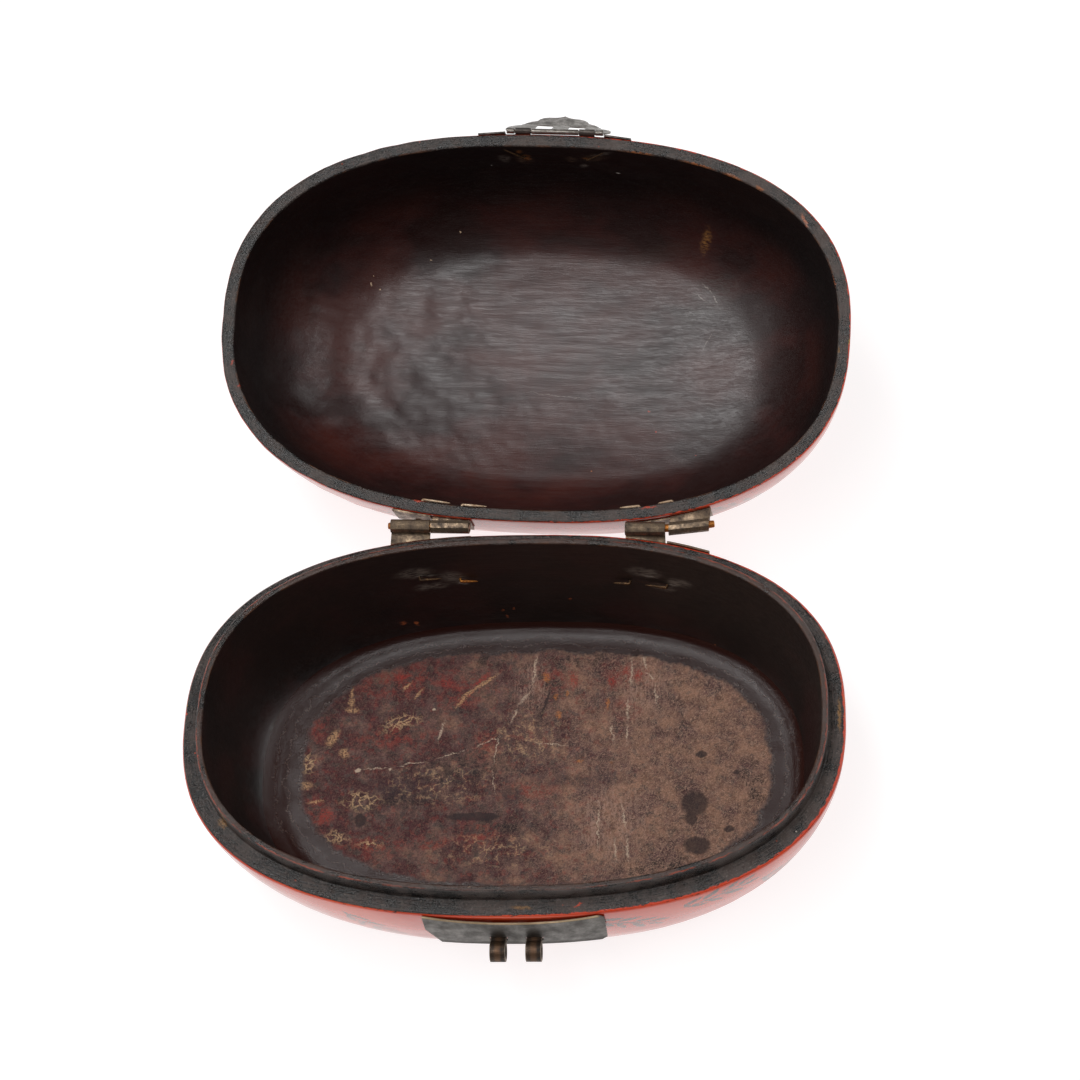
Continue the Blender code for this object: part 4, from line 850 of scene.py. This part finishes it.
lidWallMarks = [
    ("#5a4638", 0.8, True, [(-12, 21, 6, 6), (24, 17, 9, 5, -20), (12, 20, 4, 4)]),
    ("#8c5426", 0.9, True, [(-11, 19, 3.4, 4.6), (-14, 13, 2, 3, 40), (20, 18, 3, 2)]),
    ("#7c7068", 0.6, True, [(-22, 20, 4, 5), (28, 12, 8, 2, -30), (18, 26, 3, 3)]),
    ("#c8c0b8", 1.0, False, [(36, 31, 1.1, 0.6), (-30, 27, 0.5, 0.5)]),
]
stations, found = lidStations()
lidShell = pressedOval(stations, ovalShape["sides"])
_, across = mapRoundTheRim(lidShell, stations, found["rim"])
wear = lidShape["roughness"]
amounts = [wear["wall"]] * len(stations)
for i in range(found["rim"], found["hollow"] + 2):
    amounts[i] = wear["rim"]
for i in range(found["hollow"] + 2, len(stations)):
    amounts[i] = wear["hollow"] * min(1.0, 4.0 * stations[i][0] / ovalShape["halfLength"])
roughen(lidShell, amounts, wear["size"], lambda place: 1.0 + 1.6 * min(max(-place.x / 0.07, 0.0), 1.0))
placeByMatrix(lidShell, lidOpen)
rimEdges = {"red": (-0.6 * mm, 0.2 * mm), "inner": across[found["hollow"]]}
lidFinish = [makeCinnabarLacquer("cinnabarLacquerLid", spray["lidPlaces"], rimLength),
             makeRimLacquer("wornBlackLacquerRim", rimEdges, rimChips, lidShut),
             makeInsideLacquer("brushedLacquerLid", lidFloorMarks, lidWallMarks, lidShut)]
finishShell(lidShell, "lid_shell", "lid_body", "lid", [found["rim"], found["hollow"]], lidFinish)

# The lock plate and its loops on the front of the base, in mm
plateShape = {
    "middle": 4.0, "half": 39.75, "top": 69.2, "dish": 3.5,
    "footFrom": 46.5, "footTo": 44.0,
    "smudges": [(-4, 55, 5, 6), (12, 55, 5, 6), (-26, 60, 5, 3, 20), (33, 62, 4, 5)],
    "loopApart": 7.9,
}


def plateDetails(tree, thing, colour):
    # The base plate's top edge is rubbed to tan, its foot is dark, and its loops have smudged it
    split = addNode(tree, "SeparateXYZ", {"Vector": thing})
    x, z = split.outputs["X"], split.outputs["Z"]
    half, dish = plateShape["half"] * mm, plateShape["dish"] * mm
    share = addUp(tree, -plateShape["middle"] * mm / half, (x, 1.0 / half))
    below = addUp(tree, plateShape["top"] * mm - dish, (times(tree, share, share), dish), (z, -1.0))
    front = addNode(tree, "CombineXYZ", {"X": x, "Y": z})
    smudge = marks(tree, wobble(tree, front.outputs[0], 3 * mm, 3 * mm), plateShape["smudges"], 0.9)
    colour = paint(tree, colour, times(tree, smudge, 0.45), "#3b332c")
    colour = paint(tree, colour, fade(tree, below, 0.6 * mm, 0.2 * mm, 0.0, 0.65), "#98805f")
    foot = fade(tree, z, plateShape["footFrom"] * mm, plateShape["footTo"] * mm, 0.0, 0.7)
    return paint(tree, colour, foot, "#2e2822")


def loopDetails(tree, thing, colour):
    # Each loop's strip is browner along its middle and rubbed bright along its two edges
    x = addNode(tree, "SeparateXYZ", {"Vector": thing}).outputs["X"]
    for distance in (plateShape["middle"], plateShape["loopApart"]):
        x = addNode(tree, "Math", {0: addUp(tree, -distance * mm, (x, 1.0))}, operation="ABSOLUTE").outputs[0]
    colour = paint(tree, colour, fade(tree, x, 2.0 * mm, 0.6 * mm, 0.0, 0.6), "#6d4f38")
    return paint(tree, colour, fade(tree, x, 3.0 * mm, 3.4 * mm, 0.0, 0.7), "#9c8f82")


# Bronze left to darken: brown and grey patches with a fine speckle, and a dull shine
hingeBronze = makeOldMetal("patinatedBronze", ["#3a3029", "#6a5a4c", "#86735f", "#a08a72"],
                           (0.45, 0.85), (0.40, 0.62), 3.5 * mm, 0.7, 0.5)
# White brass, tarnished to grey: flat soft sheen with brown smudges; the lid's copy is darker, as painted
# shade
plateMetal = makeOldMetal("tarnishedWhiteBrass", ["#4a4541", "#5d5955", "#6d6965", "#7b7772"],
                          (0.55, 0.8), (0.46, 0.60), 6 * mm, 0.3, 0.35, plateDetails)
# a darker copy of the same brass for the lid's plate: painted shade
lidPlateShadedMetal = makeOldMetal("tarnishedWhiteBrassPaintedShade", ["#2c2724", "#433d39", "#544d49", "#675f5a"],
                             (0.5, 0.8), (0.44, 0.60), 5 * mm, 0.4, 0.4)
haspMetal = makeOldMetal("tarnishedWhiteBrassFlap", ["#433d38", "#6a645d", "#86807a", "#a09a93"],
                         (0.6, 0.9), (0.34, 0.52), 4 * mm, 0.5, 0.45)
# Wrought iron, browned: nearly black with a warm cast, brighter where it rubs
loopIron = makeOldMetal("brownedIron", ["#1d1714", "#32271f", "#48392e", "#5f4f43"],
                        (0.4, 0.75), (0.42, 0.62), 2.5 * mm, 0.6, 0.5, loopDetails)
# Brass wire: oxidised to dull brown, rubbed bright on one pin, and pale with lime on the lid's
dullWire = makeOldMetal("oxidisedBrassWire", ["#2c1f15", "#4c3624", "#6b4f36", "#87684a"],
                        (0.4, 0.7), (0.45, 0.65), 2 * mm)
brightWire = makeOldMetal("rubbedBrassWire", ["#7a4318", "#a8662a", "#c07c38", "#cf9450"],
                          (0.5, 0.8), (0.35, 0.55), 2 * mm)
paleWire = makeOldMetal("limedBrassWire", ["#8d7456", "#b4967a", "#caae92", "#dac6ac"],
                        (0.2, 0.5), (0.5, 0.7), 2 * mm)

# How each piece is eased, in mm: along the folds of its sheet, and along its cut edges
easing = {
    "hinge_bronze": {"fold": 0.60, "edge": 0.14, "finish": hingeBronze},
    "plate_metal": {"fold": 0.30, "edge": 0.16, "finish": haspMetal},
    "loop_iron": {"fold": 0.45, "edge": 0.28, "finish": loopIron},
    "pin_brass": {"fold": 0.0, "edge": 0.0, "finish": dullWire},
}
ownFinish = {"lock_plate": plateMetal, "lid_plate": lidPlateShadedMetal, "left_hinge_base_pin_right": brightWire,
             "left_hinge_pin": brightWire, "right_hinge_pin": brightWire}
for side in ("left", "right"):
    for end in ("left", "right"):
        ownFinish[side + "_hinge_lid_pin_" + end] = paleWire
tornEnd = {"node": "left_hinge_lid_leaf", "from": 1.2 * mm, "depth": 1.6 * mm, "size": 1.1 * mm}
merging = {"doubles": 0.02 * mm, "flat": math.radians(1.5), "fold": math.radians(12), "cut": math.radians(58)}


def easedCopy(node, slot, body):
    # A merged copy of a solid piece, with the folds of its sheet rounded and its cut edges eased
    shape = easing[slot]
    source = bpy.data.objects[node]
    piece = bpy.data.objects.new(node + "_eased", source.data.copy())
    bpy.context.collection.objects.link(piece)
    piece.data.name = piece.name
    workOn(piece)
    bpy.ops.object.mode_set(mode="EDIT")
    bpy.ops.mesh.select_mode(type="EDGE")
    bpy.ops.mesh.select_all(action="SELECT")
    bpy.ops.mesh.remove_doubles(threshold=merging["doubles"])
    bpy.ops.mesh.dissolve_limited(angle_limit=merging["flat"])
    bpy.ops.mesh.normals_make_consistent(inside=False)
    if shape["fold"]:
        bpy.ops.mesh.select_all(action="DESELECT")
        bpy.ops.mesh.edges_select_sharp(sharpness=merging["fold"])
        bpy.ops.transform.edge_bevelweight(value=1.0)
        bpy.ops.mesh.select_all(action="DESELECT")
        bpy.ops.mesh.edges_select_sharp(sharpness=merging["cut"])
        bpy.ops.transform.edge_bevelweight(value=shape["edge"] / shape["fold"] - 1.0)
    bpy.ops.object.mode_set(mode="OBJECT")
    if shape["fold"]:
        applyModifier(piece, "BEVEL", width=shape["fold"] * mm, segments=3, limit_method="WEIGHT")
    else:
        applyModifier(piece, "SUBSURF", levels=2, render_levels=2)
    if node == tornEnd["node"]:
        end = max(vertex.co.x for vertex in piece.data.vertices)
        for vertex in piece.data.vertices:
            near = (vertex.co.x - end + tornEnd["from"]) / tornEnd["from"]
            if near > 0:
                vertex.co.x -= near * tornEnd["depth"] * (0.5 + noise.noise(vertex.co / tornEnd["size"]))
    piece.data.materials.clear()
    piece.data.materials.append(ownFinish.get(node, shape["finish"]))
    workOn(piece)
    bpy.ops.object.shade_smooth_by_angle(angle=math.radians(40))
    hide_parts(node)
    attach(piece, body)
    return len(piece.data.polygons)


bodyOf = {node: body for body, nodes in frame["record"]["behaviour"]["bodies"].items() for node in nodes}
faces = 0
for part in frame["record"]["subparts"]:
    if part["material_slot"] in easing:
        faces += easedCopy(part["node"], part["material_slot"], bodyOf[part["node"]])
print("metal pieces", faces, "faces")

studio = {
    "floorSize": 9.0, "floorColour": "#979797", "floorDrop": 0.0002, "floorGlow": 0.84,
    "world": 0.13,
    "overhead": {"place": (-0.50, -0.05, 2.3), "size": (2.2, 0.7), "power": 37.0, "aim": (0.0, 0.12, 0.05)},
    "left": {"place": (-2.4, -0.6, 1.6), "size": (1.4, 1.4), "power": 8.0, "aim": (0.0, 0.1, 0.05)},
    "right": {"place": (2.4, 0.6, 1.6), "size": (1.4, 1.4), "power": 18.0, "aim": (0.0, 0.1, 0.05)},
}
deselectAll()
bpy.ops.mesh.primitive_plane_add(size=studio["floorSize"], location=(0, 0, -studio["floorDrop"]))
floor = bpy.context.object
floor.name = "studio_floor"
floorFinish, tree, shader = newMaterial("paintedBackdrop")
shader.inputs["Base Color"].default_value = fromHex(studio["floorColour"])
shader.inputs["Roughness"].default_value = 0.9
shader.inputs["Specular IOR Level"].default_value = 0.1
shader.inputs["Emission Color"].default_value = fromHex("#ffffff")
shader.inputs["Emission Strength"].default_value = studio["floorGlow"]
floor.data.materials.append(floorFinish)
world = bpy.data.worlds.new("studio")
bpy.context.scene.world = world
world.use_nodes = True
world.node_tree.nodes["Background"].inputs["Color"].default_value = fromHex("#ffffff")
world.node_tree.nodes["Background"].inputs["Strength"].default_value = studio["world"]
for name in ("overhead", "left", "right"):
    light = studio[name]
    bpy.ops.object.light_add(type="AREA", location=light["place"])
    lamp = bpy.context.object
    lamp.name = "softbox_" + name
    lamp.data.shape = "RECTANGLE"
    lamp.data.size, lamp.data.size_y = light["size"]
    lamp.data.energy = light["power"]
    aim = Vector(light["aim"]) - Vector(light["place"])
    lamp.rotation_euler = aim.to_track_quat("-Z", "Y").to_euler()

# The camera looks down at the box, turned a little both ways as in the photograph
view = {"down": 60.0, "roll": -10.26, "turn": -10.79, "place": (0.13562, -0.56729, 1.23243), "lens": 96.06}
down, roll, turn = [math.radians(view[name]) for name in ("down", "roll", "turn")]
forward = Vector((0, math.cos(down), -math.sin(down)))
right = Vector((1, 0, 0))
up = right.cross(forward)
sideways = math.cos(roll) * right + math.sin(roll) * up
upward = math.cos(roll) * up - math.sin(roll) * right
spin = Matrix.Rotation(-turn, 3, "Z")
pose = Matrix((spin @ sideways, spin @ upward, -(spin @ forward))).transposed().to_4x4()
pose.translation = view["place"]
bpy.ops.object.camera_add()
camera = bpy.context.object
camera.matrix_world = pose
camera.data.sensor_width = 36
camera.data.lens = view["lens"]
bpy.context.scene.camera = camera
bpy.context.scene.view_settings.view_transform = "Standard"
print("floor, lights and camera")
